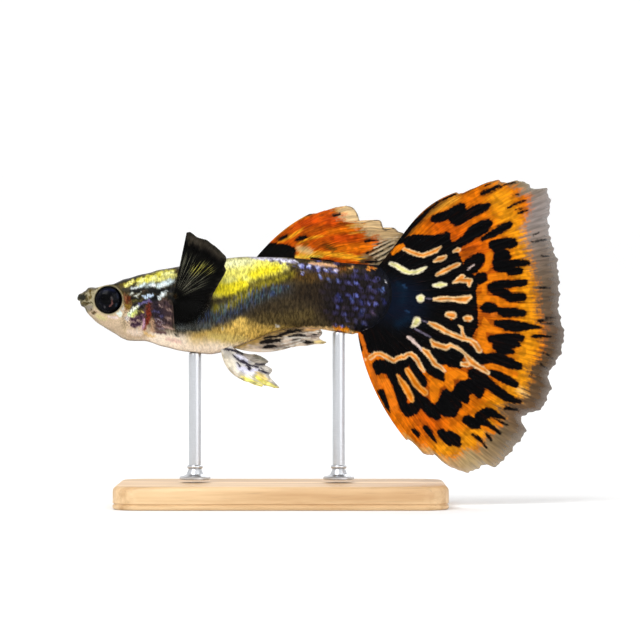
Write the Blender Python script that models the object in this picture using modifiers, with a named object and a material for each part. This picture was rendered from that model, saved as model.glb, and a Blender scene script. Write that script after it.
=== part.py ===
"""Fancy guppy: a male delta-tailed guppy at life size, as a still model on a small display stand.

The fish looks towards -X, its left side faces -Y and +Z is up. The stand's underside is at Z = 0.
Side-view places are given as (s, h): s runs back from the tip of the snout, h up from the level of the eye.
"""

import math

import bmesh
import bpy
from mathutils import Matrix, Vector

MM = 0.001

# Driving dimensions
TOTAL_LENGTH = 50.0 * MM
GAP = 0.3 * MM
PLATE_THICKNESS = 2.4 * MM
TAIL_CLEARANCE = 1.2 * MM
TAIL_DROP = 17.6 * MM

SNOUT_X = -TOTAL_LENGTH / 2
EYE_LEVEL = PLATE_THICKNESS + TAIL_CLEARANCE + TAIL_DROP

# Body sections in mm: place, back, belly, half width, squareness of the upper and of the lower half
BODY_SECTIONS = (
    (0.20, 0.30, -0.12, 0.34, 2.2, 2.2),
    (0.60, 0.62, -0.56, 0.78, 2.4, 2.2),
    (1.05, 1.14, -1.18, 1.08, 2.6, 2.2),
    (1.80, 1.27, -2.06, 1.46, 2.9, 2.1),
    (2.95, 1.52, -2.88, 1.88, 3.0, 2.0),
    (4.80, 2.08, -3.90, 2.24, 2.7, 2.0),
    (6.85, 2.67, -4.24, 2.44, 2.4, 2.1),
    (9.50, 3.27, -4.94, 2.60, 2.2, 2.1),
    (13.65, 4.07, -5.53, 2.62, 2.0, 2.1),
    (17.60, 4.48, -4.38, 2.18, 1.9, 2.0),
    (21.50, 4.44, -3.06, 1.72, 1.9, 1.9),
    (23.50, 4.27, -2.88, 1.52, 1.9, 1.9),
    (27.50, 3.84, -3.44, 1.20, 2.0, 2.0),
    (33.20, 3.45, -4.10, 0.62, 2.0, 2.0),
)
WIDEST_IN_HEAD = 0.60
WIDEST_IN_TRUNK = 0.50
RING_SIDES = 40

HEAD_END = 8.9 * MM
TRUNK_END = 22.6 * MM

# Head
EYE_AT = (3.29 * MM, 0.0)
EYE_RADIUS = 1.38 * MM
EYE_HALF_DEPTH = 0.80 * MM
EYE_OUT = 1.62 * MM
ORBIT_RIM_WIDTH = 0.24 * MM
ORBIT_RIM_RAISED = 0.10 * MM
NOSTRIL_AT = (1.42 * MM, 0.90 * MM)
NOSTRIL_RADIUS = 0.15 * MM
JAW_END = 1.9 * MM
MOUTH_HEIGHT = -0.16 * MM
MOUTH_SLOPE_DEG = 8.0
UPPER_LIP_AT = (0.52 * MM, 0.23 * MM)
UPPER_LIP = (0.52 * MM, 0.72 * MM, 0.40 * MM)
LOWER_LIP_AT = (0.74 * MM, -0.58 * MM)
LOWER_LIP = (0.40 * MM, 0.70 * MM, 0.19 * MM)
GILL_AT = (6.25 * MM, -1.60 * MM)
GILL_HALF_LENGTH = 1.45 * MM
GILL_HALF_HEIGHT = 2.10 * MM
GILL_LEAN_DEG = -8.0
GILL_INNER = 1.0 * MM
GILL_RAISED = 0.14 * MM

# Tail fin: its rays spread from a pole inside the tail stalk
TAIL_POLE = (28.48 * MM, 0.66 * MM)
TAIL_ROOT_RADIUS = 4.22 * MM
TAIL_ROOT_TOP_DEG = 48.8
TAIL_ROOT_BOTTOM_DEG = -79.6
TAIL_RAYS = 18
TAIL_ROWS = 13
# Angle at the pole in degrees and reach in mm of the fin's edge, from its upper to its lower corner
TAIL_EDGE = (
    (44.8, 14.5),
    (39.8, 17.8),
    (34.7, 20.3),
    (27.6, 22.5),
    (22.5, 21.6),
    (14.5, 20.9),
    (3.9, 21.1),
    (-4.3, 21.0),
    (-10.5, 21.9),
    (-17.0, 22.0),
    (-21.5, 21.4),
    (-27.5, 22.4),
    (-32.0, 22.0),
    (-36.3, 21.2),
    (-40.5, 22.8),
    (-50.0, 23.0),
    (-57.0, 21.7),
    (-62.0, 18.8),
    (-66.5, 17.2),
    (-70.5, 15.0),
)

# Fin thickness
MEMBRANE = 0.50 * MM
RAY_HEIGHT = 0.15 * MM
EDGE_THICKNESS = 0.26 * MM

# Stand
PLATE_LENGTH = 34.0 * MM
PLATE_WIDTH = 20.0 * MM
PLATE_CENTRE_X = -4.0 * MM
PLATE_CORNER = 3.0 * MM
PLATE_CHAMFER = 0.5 * MM
ROD_RADIUS = 0.65 * MM
ROD_FOOT_RADIUS = 1.6 * MM
ROD_FOOT_HEIGHT = 0.6 * MM
FRONT_ROD_S = 12.1 * MM
REAR_ROD_S = 26.9 * MM

# Colours: red, green, blue, then roughness and metallic
COLOURS = {
    "head_skin": ((0.52, 0.44, 0.27), 0.35, 0.1),
    "gill_cover": ((0.70, 0.62, 0.48), 0.30, 0.2),
    "eye": ((0.01, 0.01, 0.015), 0.08, 0.0),
    "flank_skin": ((0.50, 0.44, 0.18), 0.35, 0.2),
    "tail_stalk_skin": ((0.11, 0.10, 0.13), 0.35, 0.2),
    "tail_fin": ((0.72, 0.30, 0.03), 0.45, 0.0),
    "dorsal_fin": ((0.76, 0.30, 0.03), 0.45, 0.0),
    "dark_fin": ((0.03, 0.03, 0.025), 0.45, 0.0),
    "pale_fin": ((0.62, 0.60, 0.55), 0.45, 0.0),
    "stand_wood": ((0.56, 0.44, 0.30), 0.50, 0.0),
    "stand_steel": ((0.55, 0.56, 0.58), 0.30, 1.0),
}


def remove_all_objects():
    for obj in list(bpy.data.objects):
        bpy.data.objects.remove(obj, do_unlink=True)


def new_collection(name):
    collection = bpy.data.collections.new(name)
    bpy.context.scene.collection.children.link(collection)
    return collection


remove_all_objects()
PARTS = new_collection("fancy_guppy")
CUTTERS = new_collection("cutters")
CUTTERS.hide_render = True


def material(name):
    found = bpy.data.materials.get(name)
    if found:
        return found
    colour, roughness, metallic = COLOURS[name]
    made = bpy.data.materials.new(name)
    made.use_nodes = True
    shader = made.node_tree.nodes["Principled BSDF"]
    shader.inputs["Base Color"].default_value = (*colour, 1.0)
    shader.inputs["Roughness"].default_value = roughness
    shader.inputs["Metallic"].default_value = metallic
    return made


def place(s, y, h):
    """A side-view place and a distance from the midplane, as a point of the model."""
    return Vector((SNOUT_X + s, y, EYE_LEVEL + h))


def mesh_object(name, points, faces, finish=None, collection=None):
    mesh = bpy.data.meshes.new(name)
    mesh.from_pydata([tuple(p) for p in points], [], faces)
    made = bmesh.new()
    made.from_mesh(mesh)
    bmesh.ops.recalc_face_normals(made, faces=made.faces)
    made.to_mesh(mesh)
    made.free()
    obj = bpy.data.objects.new(name, mesh)
    (collection or PARTS).objects.link(obj)
    if finish:
        mesh.materials.append(material(finish))
        mesh.shade_smooth()
        mesh.set_sharp_from_angle(angle=math.radians(40))
    return obj


def as_cutter(obj):
    obj.hide_render = True
    obj.display_type = "WIRE"
    return obj


def boolean(target, other, operation):
    step = target.modifiers.new(f"{operation.lower()}_{other.name}", "BOOLEAN")
    step.operation = operation
    step.solver = "EXACT"
    step.object = other


def hermite(rows, column, at):
    """A smooth value between the rows, which are sorted by their first column."""
    if at <= rows[0][0]:
        return rows[0][column]
    if at >= rows[-1][0]:
        return rows[-1][column]
    i = next(k for k in range(len(rows) - 1) if at <= rows[k + 1][0])

    def slope(k):
        low, high = max(k - 1, 0), min(k + 1, len(rows) - 1)
        return (rows[high][column] - rows[low][column]) / (rows[high][0] - rows[low][0])

    span = rows[i + 1][0] - rows[i][0]
    t = (at - rows[i][0]) / span
    start, end = rows[i][column], rows[i + 1][column]
    return (
        (2 * t**3 - 3 * t**2 + 1) * start
        + (t**3 - 2 * t**2 + t) * span * slope(i)
        + (3 * t**2 - 2 * t**3) * end
        + (t**3 - t**2) * span * slope(i + 1)
    )


def smoothstep(low, high, at):
    t = min(max((at - low) / (high - low), 0.0), 1.0)
    return t * t * (3 - 2 * t)


class Section:
    """The body's cross-section at one place along it."""

    def __init__(self, s):
        values = [hermite(BODY_SECTIONS, column, s / MM) for column in range(1, 6)]
        self.s = s
        self.back, self.belly, self.half_width = (value * MM for value in values[:3])
        self.upper_power, self.lower_power = values[3:]
        share = WIDEST_IN_HEAD + (WIDEST_IN_TRUNK - WIDEST_IN_HEAD) * smoothstep(6.0, 12.0, s / MM)
        self.widest = self.belly + share * (self.back - self.belly)

    def point(self, turn, swell=0.0):
        """The surface point at an angle in radians, from +Y over the back."""
        upper = math.sin(turn) >= 0
        power = self.upper_power if upper else self.lower_power
        reach = (self.back - self.widest if upper else self.widest - self.belly) + swell
        across = abs(math.cos(turn)) ** (2 / power) * math.copysign(1, math.cos(turn))
        up = abs(math.sin(turn)) ** (2 / power) * math.copysign(1, math.sin(turn))
        return place(self.s, (self.half_width + swell) * across, self.widest + reach * up)

    def width_at(self, h):
        """Half the body's width at a height."""
        upper = h >= self.widest
        power = self.upper_power if upper else self.lower_power
        reach = self.back - self.widest if upper else self.widest - self.belly
        share = min(abs(h - self.widest) / reach, 1.0)
        return self.half_width * (1 - share**power) ** (1 / power)

    def under_at(self, y):
        """The height of the underside at a distance from the midplane."""
        share = min(abs(y) / self.half_width, 1.0)
        return self.widest - (self.widest - self.belly) * (1 - share**self.lower_power) ** (1 / self.lower_power)


def loft(name, stations, finish, swell=0.0, collection=None):
    """A closed length of the body through its cross-sections at the stations."""
    points, faces = [], []
    for s in stations:
        section = Section(s)
        for k in range(RING_SIDES):
            points.append(section.point(2 * math.pi * (k + 0.5) / RING_SIDES, swell))
    for ring in range(len(stations) - 1):
        for k in range(RING_SIDES):
            a = ring * RING_SIDES + k
            b = ring * RING_SIDES + (k + 1) % RING_SIDES
            faces.append((a, b, b + RING_SIDES, a + RING_SIDES))
    faces.append(tuple(range(RING_SIDES)))
    last = (len(stations) - 1) * RING_SIDES
    faces.append(tuple(last + k for k in range(RING_SIDES)))
    return mesh_object(name, points, faces, finish, collection)


def evenly(start, end, count):
    return [start + (end - start) * k / (count - 1) for k in range(count)]


def ellipsoid(name, centre, radii, finish=None, segments=24, rings=14, collection=None, pole="Z"):
    made = bmesh.new()
    bmesh.ops.create_uvsphere(made, u_segments=segments, v_segments=rings, radius=1.0)
    turn = Matrix.Rotation(math.radians(90), 4, "X") if pole == "Y" else Matrix.Identity(4)
    scale = Matrix.Diagonal((*radii, 1.0))
    bmesh.ops.transform(made, matrix=Matrix.Translation(centre) @ scale @ turn, verts=made.verts)
    mesh = bpy.data.meshes.new(name)
    made.to_mesh(mesh)
    made.free()
    obj = bpy.data.objects.new(name, mesh)
    (collection or PARTS).objects.link(obj)
    if finish:
        mesh.materials.append(material(finish))
        mesh.shade_smooth()
    return obj


def box_cutter(name, low, high, turn=None):
    made = bmesh.new()
    bmesh.ops.create_cube(made, size=1.0)
    size = [b - a for a, b in zip(low, high)]
    centre = Vector([(a + b) / 2 for a, b in zip(low, high)])
    matrix = Matrix.Translation(centre) @ Matrix.Diagonal((*size, 1.0))
    bmesh.ops.transform(made, matrix=(turn or Matrix.Identity(4)) @ matrix, verts=made.verts)
    mesh = bpy.data.meshes.new(name)
    made.to_mesh(mesh)
    made.free()
    obj = bpy.data.objects.new(name, mesh)
    CUTTERS.objects.link(obj)
    return as_cutter(obj)


def cheek_prism(name, side, at, half_length, half_height, inner, outer, lean_deg=0.0):
    """An upright oval prism through the side of the head, for cutting the socket's rim and the gill cover."""
    made = bmesh.new()
    bmesh.ops.create_cone(made, cap_ends=True, segments=28, radius1=1.0, radius2=1.0, depth=1.0)
    matrix = (
        Matrix.Translation(place(at[0], side * (inner + outer) / 2, at[1]))
        @ Matrix.Rotation(math.radians(lean_deg), 4, "Y")
        @ Matrix.Diagonal((half_length, outer - inner, half_height, 1.0))
        @ Matrix.Rotation(math.radians(90), 4, "X")
    )
    bmesh.ops.transform(made, matrix=matrix, verts=made.verts)
    mesh = bpy.data.meshes.new(name)
    made.to_mesh(mesh)
    made.free()
    obj = bpy.data.objects.new(name, mesh)
    CUTTERS.objects.link(obj)
    return as_cutter(obj)


def gill_prism(name, side, grown, inner):
    half_length, half_height = GILL_HALF_LENGTH + grown, GILL_HALF_HEIGHT + grown
    return cheek_prism(name, side, GILL_AT, half_length, half_height, inner, 4 * MM, GILL_LEAN_DEG)


def orbit_rim(word, side):
    """The raised band of skin round the eye's socket, which follows the side of the head."""
    reach = EYE_RADIUS + GAP + ORBIT_RIM_WIDTH
    stations = evenly(EYE_AT[0] - 1.2 * reach, EYE_AT[0] + 1.2 * reach, 12)
    rim = loft(f"orbit_{word}", stations, None, swell=ORBIT_RIM_RAISED, collection=CUTTERS)
    band = cheek_prism(f"orbit_outline_{word}", side, EYE_AT, reach, reach, 0.9 * MM, 4 * MM)
    boolean(rim, band, "INTERSECT")
    return as_cutter(rim)


def mouth_turn():
    """The mouth's line falls gently towards its corner."""
    hinge = place(0.0, 0.0, MOUTH_HEIGHT)
    turn = Matrix.Rotation(math.radians(MOUTH_SLOPE_DEG), 4, "Y")
    return Matrix.Translation(hinge) @ turn @ Matrix.Translation(-hinge)


def jaw_block(name, margin):
    low = place(-3 * MM, -4 * MM, -6 * MM)
    high = place(JAW_END + margin, 4 * MM, MOUTH_HEIGHT + margin)
    return box_cutter(name, low, high, mouth_turn())


def make_head():
    stations = evenly(0.20 * MM, 5.0 * MM, 15) + evenly(5.5 * MM, HEAD_END, 7)
    head = loft("head", stations, "head_skin")
    upper_lip = ellipsoid(
        "upper_lip", place(UPPER_LIP_AT[0], 0, UPPER_LIP_AT[1]), UPPER_LIP,
        segments=18, rings=10, collection=CUTTERS,
    )
    for side, word in ((-1, "left"), (1, "right")):
        socket_radii = (EYE_RADIUS + GAP, EYE_HALF_DEPTH + GAP, EYE_RADIUS + GAP)
        socket = ellipsoid(
            f"socket_{word}", place(EYE_AT[0], side * EYE_OUT, EYE_AT[1]), socket_radii,
            segments=28, rings=16, collection=CUTTERS, pole="Y",
        )
        nostril_out = Section(NOSTRIL_AT[0]).width_at(NOSTRIL_AT[1])
        nostril = ellipsoid(
            f"nostril_{word}", place(NOSTRIL_AT[0], side * nostril_out, NOSTRIL_AT[1]),
            (NOSTRIL_RADIUS,) * 3, segments=8, rings=6, collection=CUTTERS,
        )
        boolean(head, orbit_rim(word, side), "UNION")
        boolean(head, as_cutter(socket), "DIFFERENCE")
        boolean(head, as_cutter(nostril), "DIFFERENCE")
        boolean(head, gill_prism(f"gill_pocket_{word}", side, GAP, GILL_INNER - GAP), "DIFFERENCE")
        make_eye(side, word)
        make_gill_cover(side, word)
    boolean(head, jaw_block("mouth_cut", GAP / 2), "DIFFERENCE")
    boolean(head, as_cutter(upper_lip), "UNION")


def make_eye(side, word):
    centre = place(EYE_AT[0], side * EYE_OUT, EYE_AT[1])
    radii = (EYE_RADIUS, EYE_HALF_DEPTH, EYE_RADIUS)
    ellipsoid(f"eye_{word}", centre, radii, "eye", segments=24, rings=12, pole="Y")


def make_gill_cover(side, word):
    reach = GILL_HALF_LENGTH + 1.0 * MM
    stations = evenly(GILL_AT[0] - reach, GILL_AT[0] + reach, 8)
    cover = loft(f"gill_cover_{word}", stations, "gill_cover", swell=GILL_RAISED)
    boolean(cover, gill_prism(f"gill_outline_{word}", side, 0.0, GILL_INNER), "INTERSECT")


def make_jaw():
    jaw = loft("jaw", evenly(0.20 * MM, 2.9 * MM, 10), "head_skin")
    boolean(jaw, jaw_block("jaw_shape", -GAP / 2), "INTERSECT")
    lower_lip = ellipsoid(
        "lower_lip", place(LOWER_LIP_AT[0], 0, LOWER_LIP_AT[1]), LOWER_LIP,
        segments=18, rings=8, collection=CUTTERS,
    )
    boolean(jaw, as_cutter(lower_lip), "UNION")


def make_trunk():
    loft("trunk", evenly(HEAD_END + GAP, TRUNK_END, 16), "flank_skin")


def make_tail_stalk():
    """The stalk behind the trunk, rounded off about the pole of the tail's rays."""
    stalk = loft("tail_stalk", evenly(TRUNK_END + GAP, 33.2 * MM, 11), "tail_stalk_skin")
    steps, far = 24, 3 * TAIL_ROOT_RADIUS
    first, last = math.radians(76), math.radians(-93)
    outline = []
    for k in range(steps + 1):
        turn = first + (last - first) * k / steps
        outline.append((math.cos(turn) * TAIL_ROOT_RADIUS, math.sin(turn) * TAIL_ROOT_RADIUS))
    for k in range(steps, -1, -1):
        turn = first + (last - first) * k / steps
        outline.append((math.cos(turn) * far, math.sin(turn) * far))
    half = 3 * MM
    points = [place(TAIL_POLE[0] + x, y, TAIL_POLE[1] + z) for y in (-half, half) for x, z in outline]
    count = len(outline)
    faces = [(k, (k + 1) % count, count + (k + 1) % count, count + k) for k in range(count)]
    span = steps + 1
    for base in (0, count):
        for k in range(steps):
            a, b = base + k, base + k + 1
            c, d = base + 2 * span - 2 - k, base + 2 * span - 1 - k
            faces.append((a, b, c, d))
    cutter = mesh_object("stalk_end_cut", points, faces, collection=CUTTERS)
    boolean(stalk, as_cutter(cutter), "DIFFERENCE")


def fin(name, middle, thickness, columns, rows, finish):
    """A closed fin. middle(u, t) is its middle surface, u across the rays and t out along them, from 0 to 1.

    Both faces are split into triangles in the same way, so that they can't cross.
    """
    step = 1e-4
    sheets = ([], [])
    for j in range(rows):
        for i in range(columns):
            u, t = i / (columns - 1), j / (rows - 1)
            u0, u1 = max(u - step, 0.0), min(u + step, 1.0)
            t0, t1 = max(t - step, 0.0), min(t + step, 1.0)
            across = (middle(u1, t) - middle(u0, t)).normalized()
            along = (middle(u, t1) - middle(u, t0)).normalized()
            normal = across.cross(along).normalized()
            half = thickness(i, u, t) / 2
            sheets[0].append(middle(u, t) + normal * half)
            sheets[1].append(middle(u, t) - normal * half)
    count = rows * columns
    faces = []
    for j in range(rows - 1):
        for i in range(columns - 1):
            a = j * columns + i
            b, c, d = a + 1, a + columns + 1, a + columns
            if (i + j) % 2:
                pair = ((a, b, c), (a, c, d))
            else:
                pair = ((a, b, d), (b, c, d))
            for triangle in pair:
                faces.append(triangle)
                faces.append(tuple(count + k for k in reversed(triangle)))
    border = (
        [i for i in range(columns)]
        + [j * columns + columns - 1 for j in range(1, rows)]
        + [(rows - 1) * columns + i for i in range(columns - 2, -1, -1)]
        + [j * columns for j in range(rows - 2, 0, -1)]
    )
    for k, a in enumerate(border):
        b = border[(k + 1) % len(border)]
        faces.append((b, a, a + count))
        faces.append((b, a + count, b + count))
    return mesh_object(name, sheets[0] + sheets[1], faces, finish)


def tapered(root, t, root_share=0.22):
    """Thickness from a fleshy root to a thin edge, without the rays."""
    flesh = (root - MEMBRANE) * (1 - smoothstep(0.0, root_share, t))
    edge = (MEMBRANE - EDGE_THICKNESS) * smoothstep(0.84, 1.0, t)
    return MEMBRANE + flesh - edge


def ray_ridge(i, t):
    """Rays stand up on every second column."""
    return 2 * RAY_HEIGHT * (i % 2) * smoothstep(0.02, 0.15, t)


def bend(start, control, end, t):
    """A point on a curve that leaves start towards control and arrives at end."""
    return start * (1 - t) ** 2 + control * 2 * t * (1 - t) + end * t**2


def along_list(points, u):
    """A smooth place along a list of side-view places in mm."""
    rows = [(k / (len(points) - 1), *p) for k, p in enumerate(points)]
    return Vector((hermite(rows, 1, u), hermite(rows, 2, u))) * MM


def make_tail_fin():
    columns = TAIL_RAYS * 4 + 1
    first, last = TAIL_EDGE[0][0], TAIL_EDGE[-1][0]
    edge = [((first - angle) / (first - last), angle, reach) for angle, reach in TAIL_EDGE]
    root = TAIL_ROOT_RADIUS + GAP
    span = TAIL_ROOT_TOP_DEG - TAIL_ROOT_BOTTOM_DEG

    def middle(u, t):
        root_turn = TAIL_ROOT_TOP_DEG - span * u
        tip_turn = first - (first - last) * u
        turn = math.radians(root_turn + (tip_turn - root_turn) * t**1.6)
        reach = root + (hermite(edge, 2, u) * MM - root) * t
        ruffle = 0.55 * MM * math.sin(2 * math.pi * (2.6 * u + 0.15)) * t**2
        swing = -0.9 * MM * t**1.5 + 0.5 * MM * math.sin(math.pi * u) * t
        return place(
            TAIL_POLE[0] + reach * math.cos(turn), ruffle + swing, TAIL_POLE[1] + reach * math.sin(turn)
        )

    def thickness(i, u, t):
        round_root = math.sqrt(max(1 - (2 * u - 1) ** 2, 0.0))
        flesh = tapered(MEMBRANE + 0.85 * MM * round_root, t, 0.28)
        place_in_ray = i % 4
        forked = smoothstep(0.35, 0.5, t)
        ridge = {0: 0.0, 1: 1.0, 2: 1.0 - forked, 3: 1.0}[place_in_ray]
        height = RAY_HEIGHT * (0.8 + 1.1 * t * (1 - smoothstep(0.85, 1.0, t)))
        return flesh + 2 * height * ridge * smoothstep(0.02, 0.15, t)

    fin("fin_tail", middle, thickness, columns, TAIL_ROWS, "tail_fin")


def make_dorsal_fin():
    """Rays rise from the back and sweep over the tail stalk, the last ones low along it."""
    root_start, root_end = 18.4 * MM, 24.6 * MM
    tips = (
        (23.9, 8.86), (26.2, 9.37), (28.3, 9.50), (29.2, 8.10), (31.1, 8.14),
        (31.9, 7.25), (33.1, 7.05), (32.0, 5.60), (30.7, 4.35),
    )
    bulge = ((20.75, 7.35), (22.6, 8.3), (24.2, 8.0), (25.6, 6.7), (27.6, 4.85))

    def middle(u, t):
        s = root_start + (root_end - root_start) * u
        start = Vector((s, Section(s).back + GAP))
        side = bend(start, along_list(bulge, u), along_list(tips, u), t)
        lean = 0.45 * MM * t**2 * math.sin(2 * math.pi * (1.3 * u + 0.2)) - 0.5 * MM * t**2 * u
        return place(side.x, lean, side.y)

    def thickness(i, _u, t):
        return tapered(0.85 * MM, t) + ray_ridge(i, t)

    fin("fin_dorsal", middle, thickness, 21, 12, "dorsal_fin")


def make_anal_fin():
    """A narrow fin along the belly, as a male's is, its rays bundled and pointing back."""
    root_start, root_end = 17.1 * MM, 19.8 * MM
    tips = ((21.4, -4.95), (23.0, -4.60), (25.5, -4.40), (25.2, -3.85), (25.0, -3.62))
    bulge = ((18.9, -5.75), (20.5, -5.25), (21.6, -4.7), (21.9, -4.05), (21.8, -3.62))

    def middle(u, t):
        s = root_start + (root_end - root_start) * u
        start = Vector((s, Section(s).belly - GAP - 0.05 * MM))
        side = bend(start, along_list(bulge, u), along_list(tips, u), t)
        return place(side.x, 0.12 * MM * t * math.sin(2 * math.pi * u), side.y)

    def thickness(i, _u, t):
        return tapered(0.75 * MM, t) + ray_ridge(i, t)

    fin("fin_anal", middle, thickness, 13, 12, "pale_fin")


def make_pelvic_fin(side, word):
    """A short fin low on the belly, spread a little outwards."""
    left_tips = ((19.0, -8.85), (20.75, -9.05), (20.1, -8.0), (19.9, -7.1))
    right_tips = ((19.3, -8.0), (19.9, -7.5), (19.6, -6.6), (18.2, -5.75))
    tips = left_tips if side < 0 else right_tips
    bulge = (
        ((15.1, -8.0), (16.8, -7.9), (17.4, -7.2), (17.6, -6.6)) if side < 0
        else ((15.3, -7.5), (16.8, -7.1), (17.3, -6.5), (16.9, -5.8))
    )
    root_start, root_end = 14.75 * MM, 15.75 * MM
    out = 0.75 * MM

    def middle(u, t):
        s = root_start + (root_end - root_start) * u
        start = Vector((s, Section(s).under_at(out) - GAP - 0.12 * MM))
        side_view = bend(start, along_list(bulge, u), along_list(tips, u), t)
        spread = out + 1.1 * MM * t * (1 - 0.35 * u)
        return place(side_view.x, side * spread, side_view.y)

    def thickness(i, _u, t):
        return tapered(0.6 * MM, t) + ray_ridge(i, t)

    fin(f"fin_pelvic_{word}", middle, thickness, 13, 9, "pale_fin")


def make_pectoral_fin(side, word):
    """A large ear-like fan. The left one is spread up and over the flank, the right one is swept back and down."""
    pole = (9.9 * MM, 0.0)
    root_radius = 0.62 * MM
    # Angle in degrees and reach in mm of the left fan's edge
    edge = (
        (77.3, 7.1), (70.0, 6.9), (61.0, 7.0), (51.0, 7.0), (37.0, 7.0),
        (27.5, 6.1), (18.0, 4.9), (4.0, 4.0), (-22.0, 3.7), (-50.0, 3.5), (-84.0, 3.3),
    )
    if side > 0:
        first, last = edge[0][0], edge[-1][0]
        edge = tuple((24.0 - (first - a) / (first - last) * 96.0, reach) for a, reach in edge)
    rows = [(k / (len(edge) - 1), *pair) for k, pair in enumerate(edge)]
    rise = 0.30 if side < 0 else 0.42

    def middle(u, t):
        turn = math.radians(hermite(rows, 1, u))
        reach = root_radius + (hermite(rows, 2, u) * MM - root_radius) * t
        s, h = pole[0] + reach * math.cos(turn), pole[1] + reach * math.sin(turn)
        root_s = pole[0] + root_radius * math.cos(turn)
        root_h = pole[1] + root_radius * math.sin(turn)
        flank = Section(root_s).width_at(root_h) + GAP + 0.10 * MM
        outward = (rise + 0.75 * smoothstep(0.35, 1.0, u)) * (reach - root_radius)
        ruffle = 0.10 * MM * math.sin(2 * math.pi * 3.0 * u) * t**2
        return place(s, side * (flank + outward + ruffle), h)

    def thickness(i, _u, t):
        return tapered(0.55 * MM, t) + ray_ridge(i, t)

    fin(f"fin_pectoral_{word}", middle, thickness, 29, 9, "dark_fin")


def make_plate():
    """The stand's flat base, a plate with round corners and a small chamfer."""
    bpy.ops.mesh.primitive_cube_add(size=1.0)
    plate = bpy.context.object
    plate.name = "stand_base"
    plate.data.transform(Matrix.Diagonal((PLATE_LENGTH, PLATE_WIDTH, PLATE_THICKNESS, 1.0)))
    plate.location = (PLATE_CENTRE_X, 0.0, PLATE_THICKNESS / 2)
    made = bmesh.new()
    made.from_mesh(plate.data)
    upright = [e for e in made.edges if abs(e.verts[0].co.z - e.verts[1].co.z) > PLATE_THICKNESS / 2]
    bmesh.ops.bevel(made, geom=upright, offset=PLATE_CORNER, segments=6, profile=0.5, affect="EDGES")
    made.to_mesh(plate.data)
    made.free()
    chamfer = plate.modifiers.new("chamfer", "BEVEL")
    chamfer.width = PLATE_CHAMFER
    chamfer.segments = 2
    chamfer.limit_method = "ANGLE"
    chamfer.angle_limit = math.radians(60)
    plate.data.materials.append(material("stand_wood"))
    for owner in list(plate.users_collection):
        owner.objects.unlink(plate)
    PARTS.objects.link(plate)


def make_rod(name, s):
    """A turned rod with a flared foot, from the plate up to just under the belly."""
    top = EYE_LEVEL + Section(s).belly - GAP - 0.02 * MM
    bottom = PLATE_THICKNESS + GAP
    profile = [
        (0.0, top), (ROD_RADIUS * 0.75, top), (ROD_RADIUS, top - 0.15 * MM),
        (ROD_RADIUS, bottom + 1.6 * ROD_FOOT_HEIGHT), (ROD_RADIUS * 1.3, bottom + 1.1 * ROD_FOOT_HEIGHT),
        (ROD_FOOT_RADIUS, bottom + 0.6 * ROD_FOOT_HEIGHT), (ROD_FOOT_RADIUS, bottom), (0.0, bottom),
    ]
    mesh = bpy.data.meshes.new(name)
    points = [(r, 0.0, z) for r, z in profile]
    mesh.from_pydata(points, [(k, k + 1) for k in range(len(points) - 1)], [])
    rod = bpy.data.objects.new(name, mesh)
    PARTS.objects.link(rod)
    rod.location = (SNOUT_X + s, 0.0, 0.0)
    turned = rod.modifiers.new("turned", "SCREW")
    turned.steps = turned.render_steps = 20
    turned.use_merge_vertices = True
    turned.merge_threshold = 0.00002
    mesh.materials.append(material("stand_steel"))


def main():
    make_head()
    make_jaw()
    make_trunk()
    make_tail_stalk()
    make_tail_fin()
    make_dorsal_fin()
    make_anal_fin()
    for side, word in ((-1, "left"), (1, "right")):
        make_pelvic_fin(side, word)
        make_pectoral_fin(side, word)
    make_plate()
    make_rod("stand_rod_front", FRONT_ROD_S)
    make_rod("stand_rod_rear", REAR_ROD_S)


main()
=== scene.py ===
"""Looks of the fancy guppy: one scaled skin over the solids, thin ray fins, eyes and the display stand.

Shapes are worked out in millimetres as (s, y, h): s runs back from the tip of the snout, y to the fish's
right and h up from the level of the eye. Markings are brush strokes, drawn in the side view, as lists of
(x, y, radius) in a drawing whose unit is DRAWING_UNIT and whose snout tip is at DRAWING_SNOUT.
"""

import math

import bpy
import numpy as np
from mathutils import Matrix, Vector


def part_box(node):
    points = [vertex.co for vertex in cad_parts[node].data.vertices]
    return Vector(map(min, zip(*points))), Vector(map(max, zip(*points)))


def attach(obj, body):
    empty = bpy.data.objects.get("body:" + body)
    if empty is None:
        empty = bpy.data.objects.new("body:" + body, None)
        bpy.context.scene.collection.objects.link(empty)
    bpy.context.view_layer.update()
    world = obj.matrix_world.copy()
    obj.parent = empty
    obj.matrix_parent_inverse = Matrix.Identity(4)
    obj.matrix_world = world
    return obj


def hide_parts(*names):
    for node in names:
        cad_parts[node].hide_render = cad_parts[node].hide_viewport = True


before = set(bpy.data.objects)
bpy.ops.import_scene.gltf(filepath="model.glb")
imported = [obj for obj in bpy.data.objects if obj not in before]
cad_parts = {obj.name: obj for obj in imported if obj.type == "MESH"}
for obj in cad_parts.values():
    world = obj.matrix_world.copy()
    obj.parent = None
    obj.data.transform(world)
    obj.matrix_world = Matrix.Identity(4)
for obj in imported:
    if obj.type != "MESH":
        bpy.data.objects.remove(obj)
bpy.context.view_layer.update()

MM = 0.001

# Driving dimensions, as in the solids
TOTAL_LENGTH = 50.0
SNOUT_X = -TOTAL_LENGTH / 2
EYE_LEVEL = 21.2
DRAWING_UNIT = 0.103
DRAWING_SNOUT = (77.5, 300.0)

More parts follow.
